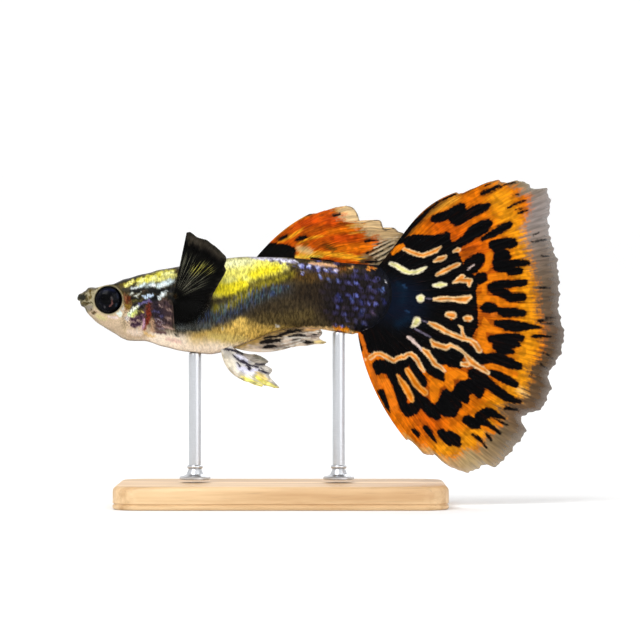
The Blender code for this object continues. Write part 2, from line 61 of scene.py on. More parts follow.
# Body outline in mm: the back's and the belly's height along s
BACK_LINE = (
    (0.0, 0.22), (0.06, 0.46), (0.19, 0.62), (0.45, 0.71), (0.64, 0.86), (0.84, 0.97), (0.97, 1.12),
    (1.16, 1.27), (1.5, 1.31), (1.87, 1.28), (2.19, 1.35), (2.64, 1.46), (3.09, 1.57), (3.67, 1.64),
    (4.18, 1.86), (4.77, 2.13), (5.66, 2.33), (6.31, 2.56), (7.47, 2.82), (8.24, 3.08), (9.5, 3.29),
    (13.65, 4.07), (17.6, 4.48), (21.5, 4.44), (23.5, 4.27), (27.5, 3.84), (33.2, 3.45),
)
BELLY_LINE = (
    (0.0, 0.17), (0.03, 0.04), (0.19, -0.18), (0.32, -0.43), (0.45, -0.64), (0.67, -0.76), (0.80, -0.94),
    (0.92, -1.22), (1.48, -1.84), (2.0, -2.33), (2.64, -2.74), (3.35, -3.18), (4.0, -3.56), (4.44, -3.86),
    (4.83, -4.05), (5.28, -4.19), (6.05, -4.24), (6.82, -4.26), (7.47, -4.40), (8.5, -4.77), (9.4, -4.98),
    (10.4, -5.21), (11.5, -5.38), (13.0, -5.56), (13.65, -5.60), (14.5, -5.48), (17.6, -4.38),
    (21.5, -3.06),
    (23.5, -2.88), (27.5, -3.44), (33.2, -4.10),
)
HALF_WIDTH = (
    (0.0, 0.02), (0.07, 0.26), (0.2, 0.48), (0.52, 0.74), (0.75, 0.80), (1.05, 1.06), (1.8, 1.46),
    (2.95, 1.88), (4.8, 2.24), (6.85, 2.44), (9.5, 2.60), (13.65, 2.62), (17.6, 2.18), (21.5, 1.72),
    (23.5, 1.52), (27.5, 1.20), (33.2, 0.62),
)
# Squareness of the upper and of the lower half of the section
SQUARENESS = (
    (0.2, 2.2, 2.2), (0.6, 2.4, 2.2), (1.05, 2.6, 2.2), (1.8, 2.9, 2.1), (2.95, 3.0, 2.0), (4.8, 2.7, 2.0),
    (6.85, 2.4, 2.1), (9.5, 2.2, 2.1), (13.65, 2.0, 2.1), (17.6, 1.9, 2.0), (21.5, 1.9, 1.9),
    (23.5, 1.9, 1.9), (27.5, 2.0, 2.0), (33.2, 2.0, 2.0),
)
WIDEST_IN_HEAD = 0.60
WIDEST_IN_TRUNK = 0.50
SKIN_COLUMNS = 176
SKIN_INSET = 0.05

# Head features, as (s, h) in mm
EYE_AT = (3.29, 0.0)
EYE_RADIUS = 1.38
EYE_HALF_DEPTH = 0.80
EYE_OUT = 1.62
# The skin's distance from the middle plane at the socket's rim and at its floor
SOCKET_OUT = 1.74
SOCKET_FLOOR = 1.15
LID_RADIUS = 1.53
LID_HEIGHT = 0.10
# The same orbit in the drawing, for the colours that go round it
ORBIT_AT = (109.4, 300.0)
MOUTH_LINE = ((0.0, -0.13, 0.0), (0.6, -0.24, 0.0), (1.43, -0.36, 0.0), (1.52, -0.55, 0.0))
MOUTH_DEPTH = 0.10
MOUTH_WIDTH = 0.07
# Each lip's line and width
LIPS = (
    (((0.15, 0.12, 0.0), (0.85, 0.05, 0.0)), 0.2),
    (((0.5, -0.5, 0.0), (1.1, -0.62, 0.0)), 0.15),
)
LIP_HEIGHT = 0.05
NOSTRIL_AT = (1.42, 0.90)
NOSTRIL_RADIUS = 0.12
NOSTRIL_DEPTH = 0.14
NOSTRIL_RIM_RADIUS = 0.2
NOSTRIL_RIM_HEIGHT = 0.03
GILL_AT = (6.25, -1.60)
GILL_HALF = (1.45, 2.10)
GILL_LEAN = math.radians(-8)
# How far the gill cover's rear stands out, and how deep the slit behind it and the groove before it are
GILL_RISE = 0.13
GILL_SLIT = 0.07
GILL_GROOVE = 0.03
PECTORAL_POLE = (9.9, 0.0)
PECTORAL_BASE_HEIGHT = 0.16

# Tail fin
TAIL_POLE = (28.48, 0.66)
TAIL_ROOT_RADIUS = 3.5
# How far from the pole the solid's rays start
SOLID_TAIL_ROOT = 4.52
STALK_PINCH = (2.5, 4.05)
TAIL_ROOT_TURNS = (48.8, -79.6)
TAIL_RAYS = 18
# Angle in degrees and reach in drawing units of the edge, with every notch between the ray bundles
TAIL_EDGE = (
    (45.0, 141), (41.9, 152), (39.8, 173), (38.0, 183.5), (35.9, 189.5), (34.7, 197.5), (33.0, 204),
    (30.3, 207.5), (28.4, 218.5), (26.0, 217), (23.2, 212), (20.0, 205.5), (14.5, 203), (9.3, 205),
    (3.9, 205),
    (-0.2, 205), (-4.3, 205), (-8.6, 210.5), (-12.3, 214.5), (-16.4, 214.5), (-18.6, 213), (-22.3, 209.4),
    (-25.7, 217.5), (-30.5, 219.5), (-33.2, 216), (-34.6, 210.5), (-36.2, 207.5), (-37.4, 211),
    (-38.6, 220), (-44.5, 222), (-50.4, 224), (-52.1, 217), (-54.4, 214), (-57.2, 212), (-59.2, 206),
    (-60.8, 197), (-62.2, 190), (-63.4, 180), (-66.2, 175), (-67.4, 165), (-69.0, 157.5), (-70.5, 153),
)
# How far, in degrees, the fin's upper and lower sides bow out of straight rays
TAIL_SIDE_BOWS = (3.2, -4.8)
# Waves that fray its edge: size in drawing units, turns over the whole edge and phase
TAIL_FRAYS = ((0.7, 36, 1.3), (0.5, 72.3, 0.0), (0.5, 23.1, 0.6))

# Stand
PLATE_SIZE = (34.0, 20.0, 2.4)
PLATE_CENTRE_X = -4.0
PLATE_CORNER = 3.0
ROD_RADIUS = 0.65
# How far each rod runs on past its solid, to touch the belly
ROD_REACH = 0.38
ROD_PLACES = {"stand_rod_front": 12.1, "stand_rod_rear": 26.9}

# Camera
CAMERA_DISTANCE = 0.38
CAMERA_AT = (-0.00003, 0.01914)
IMAGE_SIDE = 640
# Brings painted colours to their strength on the screen under the studio's light
PAINT_GAIN = 0.72
# Paint on the underside, which gets less light, may be so many times as bright as white
BRIGHTEST = 1.10


def smoothstep(low, high, at):
    share = np.clip((np.asarray(at, float) - low) / (high - low), 0.0, 1.0)
    return share * share * (3 - 2 * share)


def slopes_of(knots, values, monotone):
    """The slope at each knot: a plain central one, or one that never overshoots."""
    steps = np.diff(values) / np.diff(knots)
    slopes = np.empty(len(knots))
    slopes[0], slopes[-1] = steps[0], steps[-1]
    if monotone:
        before, after = steps[:-1], steps[1:]
        total = np.where(np.abs(before + after) < 1e-9, 1.0, before + after)
        slopes[1:-1] = np.where(before * after > 0, 2 * before * after / total, 0.0)
    else:
        slopes[1:-1] = (values[2:] - values[:-2]) / (knots[2:] - knots[:-2])
    return slopes


def curve(rows, at, column=1, monotone=True):
    """A smooth value between rows, which are sorted by their first column."""
    table = np.asarray(rows, float)
    if table[0, 0] > table[-1, 0]:
        table = table[::-1]
    knots, values = table[:, 0], table[:, column]
    slopes = slopes_of(knots, values, monotone)
    at = np.clip(np.asarray(at, float), knots[0], knots[-1])
    i = np.clip(np.searchsorted(knots, at, side="right") - 1, 0, len(knots) - 2)
    span = knots[i + 1] - knots[i]
    t = (at - knots[i]) / span
    return (
        (2 * t**3 - 3 * t**2 + 1) * values[i]
        + (t**3 - 2 * t**2 + t) * span * slopes[i]
        + (3 * t**2 - 2 * t**3) * values[i + 1]
        + (t**3 - t**2) * span * slopes[i + 1]
    )


def along_list(points, u):
    """A smooth place along a list of places that are evenly spaced in u."""
    rows = [(k / (len(points) - 1), *p) for k, p in enumerate(points)]
    return curve(rows, u, 1, False), curve(rows, u, 2, False)


def drawing_x(s):
    return DRAWING_SNOUT[0] + s / DRAWING_UNIT


def drawing_y(h):
    return DRAWING_SNOUT[1] - h / DRAWING_UNIT


# Painting

# So many waves are added up where brushwork and the ends of colours are uneven
WAVES = 12
# Stands for a distance to marks that are nowhere near
FAR = 99.0


def stroke_gap(x, y, stroke):
    """Distance to a tapered brush stroke in drawing units, negative inside it."""
    ends = stroke if len(stroke) > 1 else (stroke[0], stroke[0])
    best = np.full(np.shape(x), np.inf)
    for (x0, y0, r0), (x1, y1, r1) in zip(ends, ends[1:]):
        dx, dy = x1 - x0, y1 - y0
        length = max(dx * dx + dy * dy, 1e-9)
        share = np.clip(((x - x0) * dx + (y - y0) * dy) / length, 0, 1)
        gap = np.hypot(x - x0 - share * dx, y - y0 - share * dy) - (r0 + (r1 - r0) * share)
        best = np.minimum(best, gap)
    return best


def strokes_gap(x, y, strokes):
    """Distance to the nearest of several strokes."""
    best = np.full(np.shape(x), FAR)
    for stroke in strokes:
        best = np.minimum(best, stroke_gap(x, y, stroke))
    return best


def wander(x, y, seed):
    """A smooth irregular number about 0, which makes brushwork uneven."""
    random = np.random.default_rng(seed)
    total = np.zeros(np.shape(x))
    for _ in range(WAVES):
        turn, phase = random.uniform(0, 2 * math.pi, 2)
        length = random.uniform(1.8, 6.5)
        total += np.sin(2 * math.pi * (x * math.cos(turn) + y * math.sin(turn)) / length + phase)
    return total / WAVES**0.5


class Canvas:
    """Colours on a set of points, put on by strokes. They are 0 to 255, as seen on a screen."""

    def __init__(self, x, y, ground, waver=0.7):
        self.x = x + waver * wander(x, y, 3)
        self.y = y + waver * wander(x, y, 4)
        self.colour = np.empty(np.shape(x) + (3,))
        self.colour[...] = ground

    def blend(self, share, colour):
        share = np.asarray(share)[..., None]
        self.colour = self.colour * (1 - share) + np.asarray(colour, float) * share

    def washes(self, washes):
        """Each wash is a colour, how far it fades to both sides of its edge, and its strokes."""
        for colour, soft, *strokes in washes:
            gap = strokes_gap(self.x, self.y, strokes)
            self.blend(1 - smoothstep(-soft, soft, gap), colour)


def linear(colours):
    """Screen colours, 0 to 255, as linear light."""
    share = np.clip(np.asarray(colours, float) / 255, 0, BRIGHTEST)
    return np.where(share <= 0.04045, share / 12.92, ((share + 0.055) / 1.055) ** 2.4)


# Markings of the body, back to front

BODY_GROUND = (66, 56, 34)
FLANK_WASHES = (
    # The cream belly, painted brighter than white: painted light where the underside is in shade
    ((274, 256, 232), 6, ((100, 318, 9), (125, 331, 12), (150, 341, 13), (180, 352, 18), (205, 354, 22),
                          (225, 352, 18), (245, 347, 10))),
    ((206, 170, 84), 9, ((196, 336, 5), (215, 332, 7), (235, 331, 11), (255, 331, 10), (275, 331, 7),
                         (295, 335, 5))),
    ((222, 196, 112), 4, ((212, 336, 3), (228, 338, 4), (244, 338, 3))),
    ((62, 51, 32), 7, ((255, 305, 13), (280, 302, 17), (310, 300, 19), (330, 300, 19))),
    ((84, 70, 38), 5, ((262, 318, 5), (285, 318, 6), (310, 315, 6))),
    ((54, 52, 52), 7, ((205, 320, 6), (222, 315, 9), (238, 307, 9), (250, 300, 8), (268, 294, 6),
                       (290, 290, 4))),
    ((42, 32, 20), 8, ((305, 292, 10), (325, 290, 18), (340, 300, 24))),
    ((26, 20, 16), 9, ((348, 298, 24), (365, 298, 28), (385, 298, 32), (410, 298, 34))),
    ((80, 58, 22), 4, ((295, 276, 5), (312, 278, 5), (330, 274, 4), (350, 270, 3))),
    ((248, 238, 112), 4, ((217, 290, 8), (226, 276, 17), (240, 271, 16), (258, 268, 11), (274, 267, 8),
                          (284, 266, 5))),
    ((252, 250, 184), 4, ((222, 264, 5), (236, 262, 6), (250, 261, 4))),
    ((246, 228, 40), 4, ((220, 290, 6), (230, 289, 7), (243, 285, 6)),
     ((252, 276, 4), (262, 272, 5), (277, 269, 4))),
    ((245, 240, 130), 2, ((228, 281, 3), (236, 279, 2)), ((245, 279, 2), (249, 278, 1.5))),
    ((150, 138, 26), 5, ((215, 308, 3), (222, 309, 3), (232, 304, 3.5), (246, 294, 3.5), (262, 284, 3),
                         (280, 279, 2.5), (292, 274, 2))),
    # The silver-lilac line along the back: painted sheen, brighter than white in its blue
    ((246, 244, 268), 1.4, ((250, 255, 2.6), (258, 257, 3.2), (266, 257.5, 2.8), (276, 259, 2.4),
                            (286, 260.5, 2),
                            (297, 262, 1.4))),
    ((104, 96, 132), .8, ((270, 258, .5), (273, 262, .7)), ((278, 259, .5), (281, 264, .7)),
     ((285, 260, .6), (288, 265.5, .8)), ((292, 261, .6), (295, 266, .8))),
    ((190, 200, 190), .8, ((238, 318, .5), (239, 322, .5)), ((222, 327, .5), (224, 331, .5))),
    ((228, 190, 96), 3, ((232, 330, 4), (242, 323, 6), (245, 330, 5)), ((252, 336, 3),)),
    # A painted highlight: a small white spot on the lower flank
    ((245, 245, 240), 1, ((276.5, 326.5, 1.2), (278, 326, 1.2))),
)
SHOULDER_WASHES = (
    ((84, 65, 60), 4, ((156, 308, 6), (165, 306, 8), (170, 318, 6), (160, 325, 7))),
    ((44, 33, 42), 3, ((156, 304, 4), (158, 314, 5), (166, 306, 4), (164, 316, 3))),
    ((80, 78, 122), 1, ((155, 311, 1), (160, 312, .8)), ((161, 316, .7), (165, 317, .7)),
     ((156, 319, .8),)),
    ((165, 148, 158), 1, ((157, 320, .8), (163, 321, .8)), ((160, 324, .8), (166, 323, .8)),
     ((159, 328, .8), (165, 329, .8))),
    ((92, 62, 66), 1.2, ((156, 322, 1), (162, 322.5, 1)), ((157, 326, 1.2), (167, 327, 1)),
     ((156, 332, 1), (166, 333, 1.2))),
    ((214, 172, 136), 2, ((153, 320, 1.6), (153, 330, 2.6))),
    ((84, 64, 60), 3, ((168, 304, 4), (172, 314, 5), (170, 324, 4))),
    ((56, 42, 48), 1.4, ((166, 303, 1.8), (172, 307, 1.4)), ((167, 312, 1.6), (173, 315, 1.4)),
     ((165, 321, 1.4), (172, 324, 1.2))),
    ((196, 164, 150), 1, ((169, 309.5, .8), (172.5, 310.5, .7)), ((167, 317.5, .8), (171, 319, .8)),
     ((163, 326, .8), (173, 328.5, .9)), ((160, 306, .6), (163, 307, .6))),
    ((236, 190, 176), 2.4, ((168, 339, .8), (175, 340.5, 1.2), (181, 342, .8))),
    ((26, 25, 20), 3, ((180, 300, 6), (184, 314, 8), (200, 312, 9), (208, 306, 5))),
    ((84, 88, 84), 3, ((181, 326, 5), (196, 327, 4), (210, 326, 3))),
    ((40, 40, 34), 1, ((178, 331, 1.6),), ((194.5, 330, 1.5),), ((200.5, 331, 1.2),), ((178, 335, 1.4),)),
)
HEAD_WASHES = (
    ((222, 196, 164), 3, ((92, 316, 6), (100, 314, 12), (118, 318, 16), (132, 328, 12), (142, 332, 8))),
    ((206, 196, 160), 3, ((92, 300, 6), (96, 300, 7), (104, 290, 7))),
    ((172, 162, 128), 2.5, ((86, 298, 6), (92, 296, 6), (90, 306, 5))),
    ((222, 196, 158), 2, ((101, 315, 2), (110, 317, 3), (120, 318, 2))),
    ((236, 224, 160), 2, ((98, 316, 2), (105, 319, 2))),
    ((190, 172, 142), 1.5, ((88, 313, 1), (97, 321.5, 1.2), (110, 330.5, 1.2), (122, 338, 1.2),
                            (132, 340.5, 1), (150, 341, .8))),
    ((42, 42, 32), 1, ((80, 297.5, 2.2), (83, 297.5, 3.2), (85.5, 297.5, 2.6))),
    ((96, 84, 50), 1, ((87, 296, 1.2), (87.5, 300, 1.2)), ((81, 303, .8), (86, 303.5, 1))),
    ((92, 84, 62), .8, ((84.5, 293.5, 1), (87, 290.5, 1), (90, 287.5, .8), (95, 288, .8), (98, 289, .6))),
    ((104, 88, 46), 1, ((91, 291, 1.8), (91.5, 293.5, 1.6)), ((91.6, 296.5, 1.6), (90.5, 298.5, 1))),
    ((66, 54, 22), .7, ((86.5, 304, .8), (90, 303, .9), (93, 302.5, .5))),
    ((150, 140, 124), 1.2, ((88, 307, 1.6), (92, 308, 2.2))),
    ((84, 66, 34), .9, ((91.5, 310.3, 1.4),), ((94, 313, 1.2), (96.5, 312.3, .9))),
    ((108, 100, 76), .8, ((81, 303.5, .7), (85, 306.5, .8), (87.5, 311, .8))),
    ((74, 64, 40), 1.2, ((112, 285.5, 1.2), (120, 284, 2.8), (125, 282, 2.4), (131, 279, 1.6))),
    ((96, 80, 26), 2, ((124, 286, 3), (125, 292, 3.5), (131, 290, 3))),
    ((66, 56, 16), 1.5, ((124, 290, 1.6), (129, 291.5, 1.6), (135, 287, 1))),
    ((118, 80, 42), 2, ((127, 296, 2.4), (129, 303, 3.4), (128, 309, 2))),
    ((146, 92, 62), 1.2, ((125.5, 294, 1), (126.5, 299, 1.2))),
    ((96, 40, 14), 1.4, ((130, 298, 2), (128, 302, 1.4))),
    ((140, 110, 40), 1.4, ((124, 306, 1.2), (131, 306, 1.6), (130, 312, 1.2))),
    ((206, 182, 146), 1.5, ((126, 313, 2), (124.5, 320, 2.4), (126, 330, 2))),
    ((200, 200, 190), 1, ((124.5, 306, 1), (123.5, 309, .8))),
    # Painted glints below the eye: a white-cyan one and a white-pink one
    ((234, 248, 240), 1, ((118.5, 313, 1.6), (121, 313.5, 2.4), (121.5, 315, 1.6))),
    ((248, 228, 228), 1.2, ((110, 317, .8), (114, 317.3, 1.2), (118, 318, 1))),
    ((214, 204, 200), 2, ((128, 318, 2), (131, 314, 2), (134, 308, 1.5))),
    # A painted glint on the gill cover: pale green, with a yellow part and a white core
    ((226, 246, 196), 1.2, ((131, 314.5, 2.4), (134.5, 311.5, 3.2), (138.5, 307.5, 2))),
    ((238, 244, 136), 1, ((133, 315.5, 1.4), (136.5, 312.5, 1.8), (138, 310, 1))),
    ((252, 255, 235), .8, ((131.5, 312, 1), (134, 309.5, 1.2), (138.5, 306.5, .8))),
    ((30, 26, 30), 1.2, ((132, 308, .8), (136, 304, 1.8), (141, 302, 1.6), (149, 300.3, 1.4),
                         (157, 300.5, 2))),
    ((30, 24, 30), 1, ((139.5, 309, 1.4), (142, 307, 1.4), (146, 305, .8))),
    ((112, 104, 160), .9, ((140, 304.8, 1), (145, 302.6, 1.3), (151, 300.8, 1.2))),
    ((150, 160, 200), .7, ((140, 305.5, .9),)),
    ((96, 68, 84), 1.6, ((133, 320, 2.2), (140, 318, 2), (145, 315, 1.6)),
     ((134, 325, 2.4), (140, 324, 2.4)),
     ((143, 320, 1.6), (146, 310, 1))),
    ((56, 36, 52), 1, ((133.5, 324.5, 1.4), (135, 327, .8)), ((138, 323.5, 1.4), (141, 324, 1.2)),
     ((134, 319.5, .9), (138, 319, .9)), ((140.5, 316, 1), (143, 318, 1))),
    ((196, 150, 176), 1, ((145, 319, 1), (145, 325, 1.2), (143, 329, .8))),
    ((240, 216, 110), .7, ((140.5, 311, .8),), ((143.5, 311.5, .9),)),
    ((120, 42, 26), 1.2, ((150, 302.5, 1), (150, 309, 2.4), (149.5, 316, 2.4), (148, 323, 1.4),
                          (145, 330, .8))),
    ((248, 226, 204), 2, ((129, 331, 1.6), (134, 333, 3), (141, 333, 3))),
    ((222, 214, 200), 1, ((138, 329, .8), (138, 334, .6))),
    ((246, 206, 138), 1.5, ((146, 333, 1.6), (150, 336, 1.4), (155, 336, 1.2))),
)
NAPE_WASHES = (
    ((34, 30, 14), 1, ((112, 285, 1.2), (125, 280, 2.0), (137, 276.5, 2), (146, 274, 1.6),
                       (153, 271.5, 1.6),
                       (162, 268.5, 1.2), (175, 267.5, 1))),
    ((46, 40, 24), 4, ((126, 290, 3), (140, 289, 6), (160, 287, 8), (174, 284, 8))),
    ((232, 226, 128), 1.8, ((138, 285.5, 1), (146, 281.5, 2.2), (156, 280, 2.8), (166, 278, 3.2),
                            (174, 276, 3))),
    ((232, 220, 96), 1.6, ((126, 285.5, 1.8), (130, 284, 2.6), (134, 281.5, 1.8))),
    ((252, 244, 150), .8, ((126.5, 286.8, 1), (130.5, 283.5, 1.4), (134, 281, .7))),
    ((226, 216, 74), 1.6, ((138, 281, 1.8), (144, 279, 2.8), (150, 277.5, 3), (158, 274.5, 3),
                           (165, 272.5, 2.5),
                           (173, 271.5, 2))),
    ((252, 250, 168), 1, ((139, 282.5, 1), (145, 278.5, 1.6)), ((152, 278.5, 1.6), (156, 277, 1.6)),
     ((163, 274.5, 1.4), (172, 273, 2))),
    ((110, 98, 20), .8, ((142, 276.5, .7), (146, 276, .8)), ((152, 275, .8), (157, 273.5, .8))),
    ((216, 232, 236), 1.4, ((133, 289, 1), (139, 287.5, 1.6), (146, 284.5, 2)),
     ((147, 287, 1.4), (154, 284.5, 2.4)),
     ((160, 286, 2.6), (168, 283, 3), (173, 281, 2.5))),
    ((250, 255, 255), .8, ((133.5, 289.2, .7), (138, 288, 1)), ((152, 286.5, 1.2), (155, 285, 1.4)),
     ((162, 287.5, 1.2), (166, 284.5, 1.4))),
    ((120, 130, 120), .9, ((157.5, 285, .8), (158, 288, 1)), ((148, 286.5, .6), (151, 288, .6))),
    ((16, 16, 15), 1.1, ((131, 291.5, 1.2), (137, 291, 1.8), (145, 290.5, 2.4), (153, 291, 2.8),
                         (160, 291.5, 2.4),
                         (166, 290, 1.8), (174, 290, 3)),
     ((133, 298, 1.2), (140, 299, 1.8)), ((153, 298, 2), (158, 297, 2.4)),
     ((170, 297, 2.4), (175, 300, 3))),
    ((84, 66, 50), 1, ((144, 291.5, 1), (148, 291, 1.2))),
    ((214, 218, 206), .8, ((131, 294.5, .8), (133.5, 293.5, 1.1)), ((136, 296.5, .8), (139, 297, .7)),
     ((139, 294.5, .7), (142, 293.2, .7))),
    ((206, 226, 250), .8, ((143.5, 297, 1.2), (147, 297, 1.8), (151.5, 296, 1.6), (154, 294.8, .8))),
    ((226, 236, 238), .8, ((160, 298, 1.6), (163, 295.5, 1.8), (166.5, 291.5, 1.2))),
    ((96, 90, 40), 1.4, ((134, 301, 1.2), (143, 301, 1))),
)
STALK_WASHES = (
    ((245, 192, 142), 1.2, ((310, 263.5, 1.2), (322, 264.5, 2), (335, 266, 1.6))),
    ((120, 70, 20), 1.5, ((335, 270, 1.5), (345, 268, 1.8))),
    ((40, 26, 14), 1.5, ((338, 265, 1.5), (350, 265, 1.2))),
    ((248, 190, 110), .9, ((350, 268.5, 1), (353, 267, 1))),
    ((252, 160, 60), .9, ((367.5, 270, 1), (369, 267.5, 1.2)), ((373, 269, 1), (376, 268, 1.2))),
    ((190, 90, 20), .8, ((371, 267, 1), (372, 268.5, .8))),
    # From here to the white marks at the stalk's end: painted glints on single scales, and dark gaps
    # A chain of round lilac scales with white glints and dark gaps
    ((40, 30, 52), 1.0, ((305.2, 264.5, .8), (305.6, 270, 1)), ((313.6, 266.5, .8), (314, 271.5, 1)),
     ((322, 268, .8), (322.2, 273, 1)), ((331, 269.5, .8), (331.2, 274, 1))),
    ((118, 122, 196), .8, ((300.8, 266.2, 2.9),), ((309.6, 266.8, 2.7),), ((317.9, 268.6, 2.5),),
     ((326.4, 270.2, 2.4),), ((335.8, 271.2, 2.3),), ((302.3, 273.4, 1.8),)),
    ((224, 230, 252), .7, ((300.3, 265.6, 1.7),), ((309.2, 266.2, 1.5),), ((317.6, 268, 1.2),),
     ((326.4, 269.6, 1),), ((302.2, 273, .8),)),
    ((222, 212, 236), .9, ((318, 266, .8), (320, 267, .8)), ((334, 270, 1), (337, 271, 1.4)),
     ((325, 268.5, .8),), ((302, 272, .6),)),
    ((104, 118, 186), 1.2, ((319.5, 275.5, 1), (320.5, 278, 1.2)), ((328, 279, 1.2), (329.5, 281.5, 1.2)),
     ((337, 279, 1.2), (338.5, 282, 1)), ((332, 271, .7), (333.5, 273, .7))),
    ((190, 205, 240), .7, ((329.3, 281.5, .8),), ((320, 276, .6),)),
    ((62, 58, 104), 1.3, ((349, 282, 1.2), (351, 285, 1.2)), ((354, 274, 1.6), (357, 277, 1.2)),
     ((366, 275, 1), (366.5, 279, 1.2)), ((372, 280, 1.2), (375, 281, 1.6)),
     ((358, 284, 1.2), (360, 288, 1.4)),
     ((368.5, 286, 1), (371, 290, 1.4))),
    ((44, 48, 108), 1.4, ((338, 295, 1.6), (340.5, 300, 2)), ((350, 296, 1.4), (352, 301, 1.8)),
     ((360, 300, 1.4), (362, 304, 1.6)), ((382, 299, 1), (385, 303, 1.6))),
    ((82, 104, 168), .8, ((351.5, 297, .9), (352.5, 300, .7)), ((361, 302, .7),), ((339.5, 297, .6),),
     ((370, 288, .7),)),
    ((104, 132, 204), .8, ((382.5, 287, .7), (383.5, 290, .9), (381, 293.5, .8))),
    ((40, 52, 104), 1.2, ((379, 290, 1.6),), ((363, 310, 2), (361, 315, 1.6)), ((363.5, 323, 1.8),)),
    ((72, 72, 112), 1.1, ((355, 319, 1.2), (356, 323, 1.4)), ((345, 318, 1), (347, 321, 1.2)),
     ((349, 326, .9),), ((363.5, 309, 1), (362, 313, .8)), ((363, 321, .9), (366, 325, .9))),
    ((72, 60, 82), 1.3, ((368, 303, 1.2), (367, 306, 1)), ((371, 311, 1.2), (374, 315, 2)),
     ((343, 308, 1.4),)),
    ((124, 98, 134), .8, ((374, 303.5, 1),), ((373, 312, .8),)),
    ((196, 190, 196), .8, ((364, 331.5, .8), (367, 330.5, 1))),
    ((252, 250, 252), .8, ((385, 280.5, 1), (385.5, 283, .9)), ((391.5, 281.5, .9), (395, 284, 1.1))),
    ((226, 190, 130), 1.2, ((296, 330, 1.2), (310, 327.5, 1.6), (322, 328.5, 1.6), (332, 329, 2))),
    ((248, 150, 16), 1.2, ((335, 328.5, 2), (342, 329.5, 2.8), (347, 330.5, 2.4))),
    ((250, 206, 140), 1, ((318, 329.5, 1.2), (334, 330.5, 1.6)), ((347, 332, 1.2), (352, 332.5, 1.2))),
    ((240, 150, 26), 1.4, ((354, 333, 1.4), (359, 334.5, 2.2), (362, 338, 2))),
)

# Markings of the tail fin

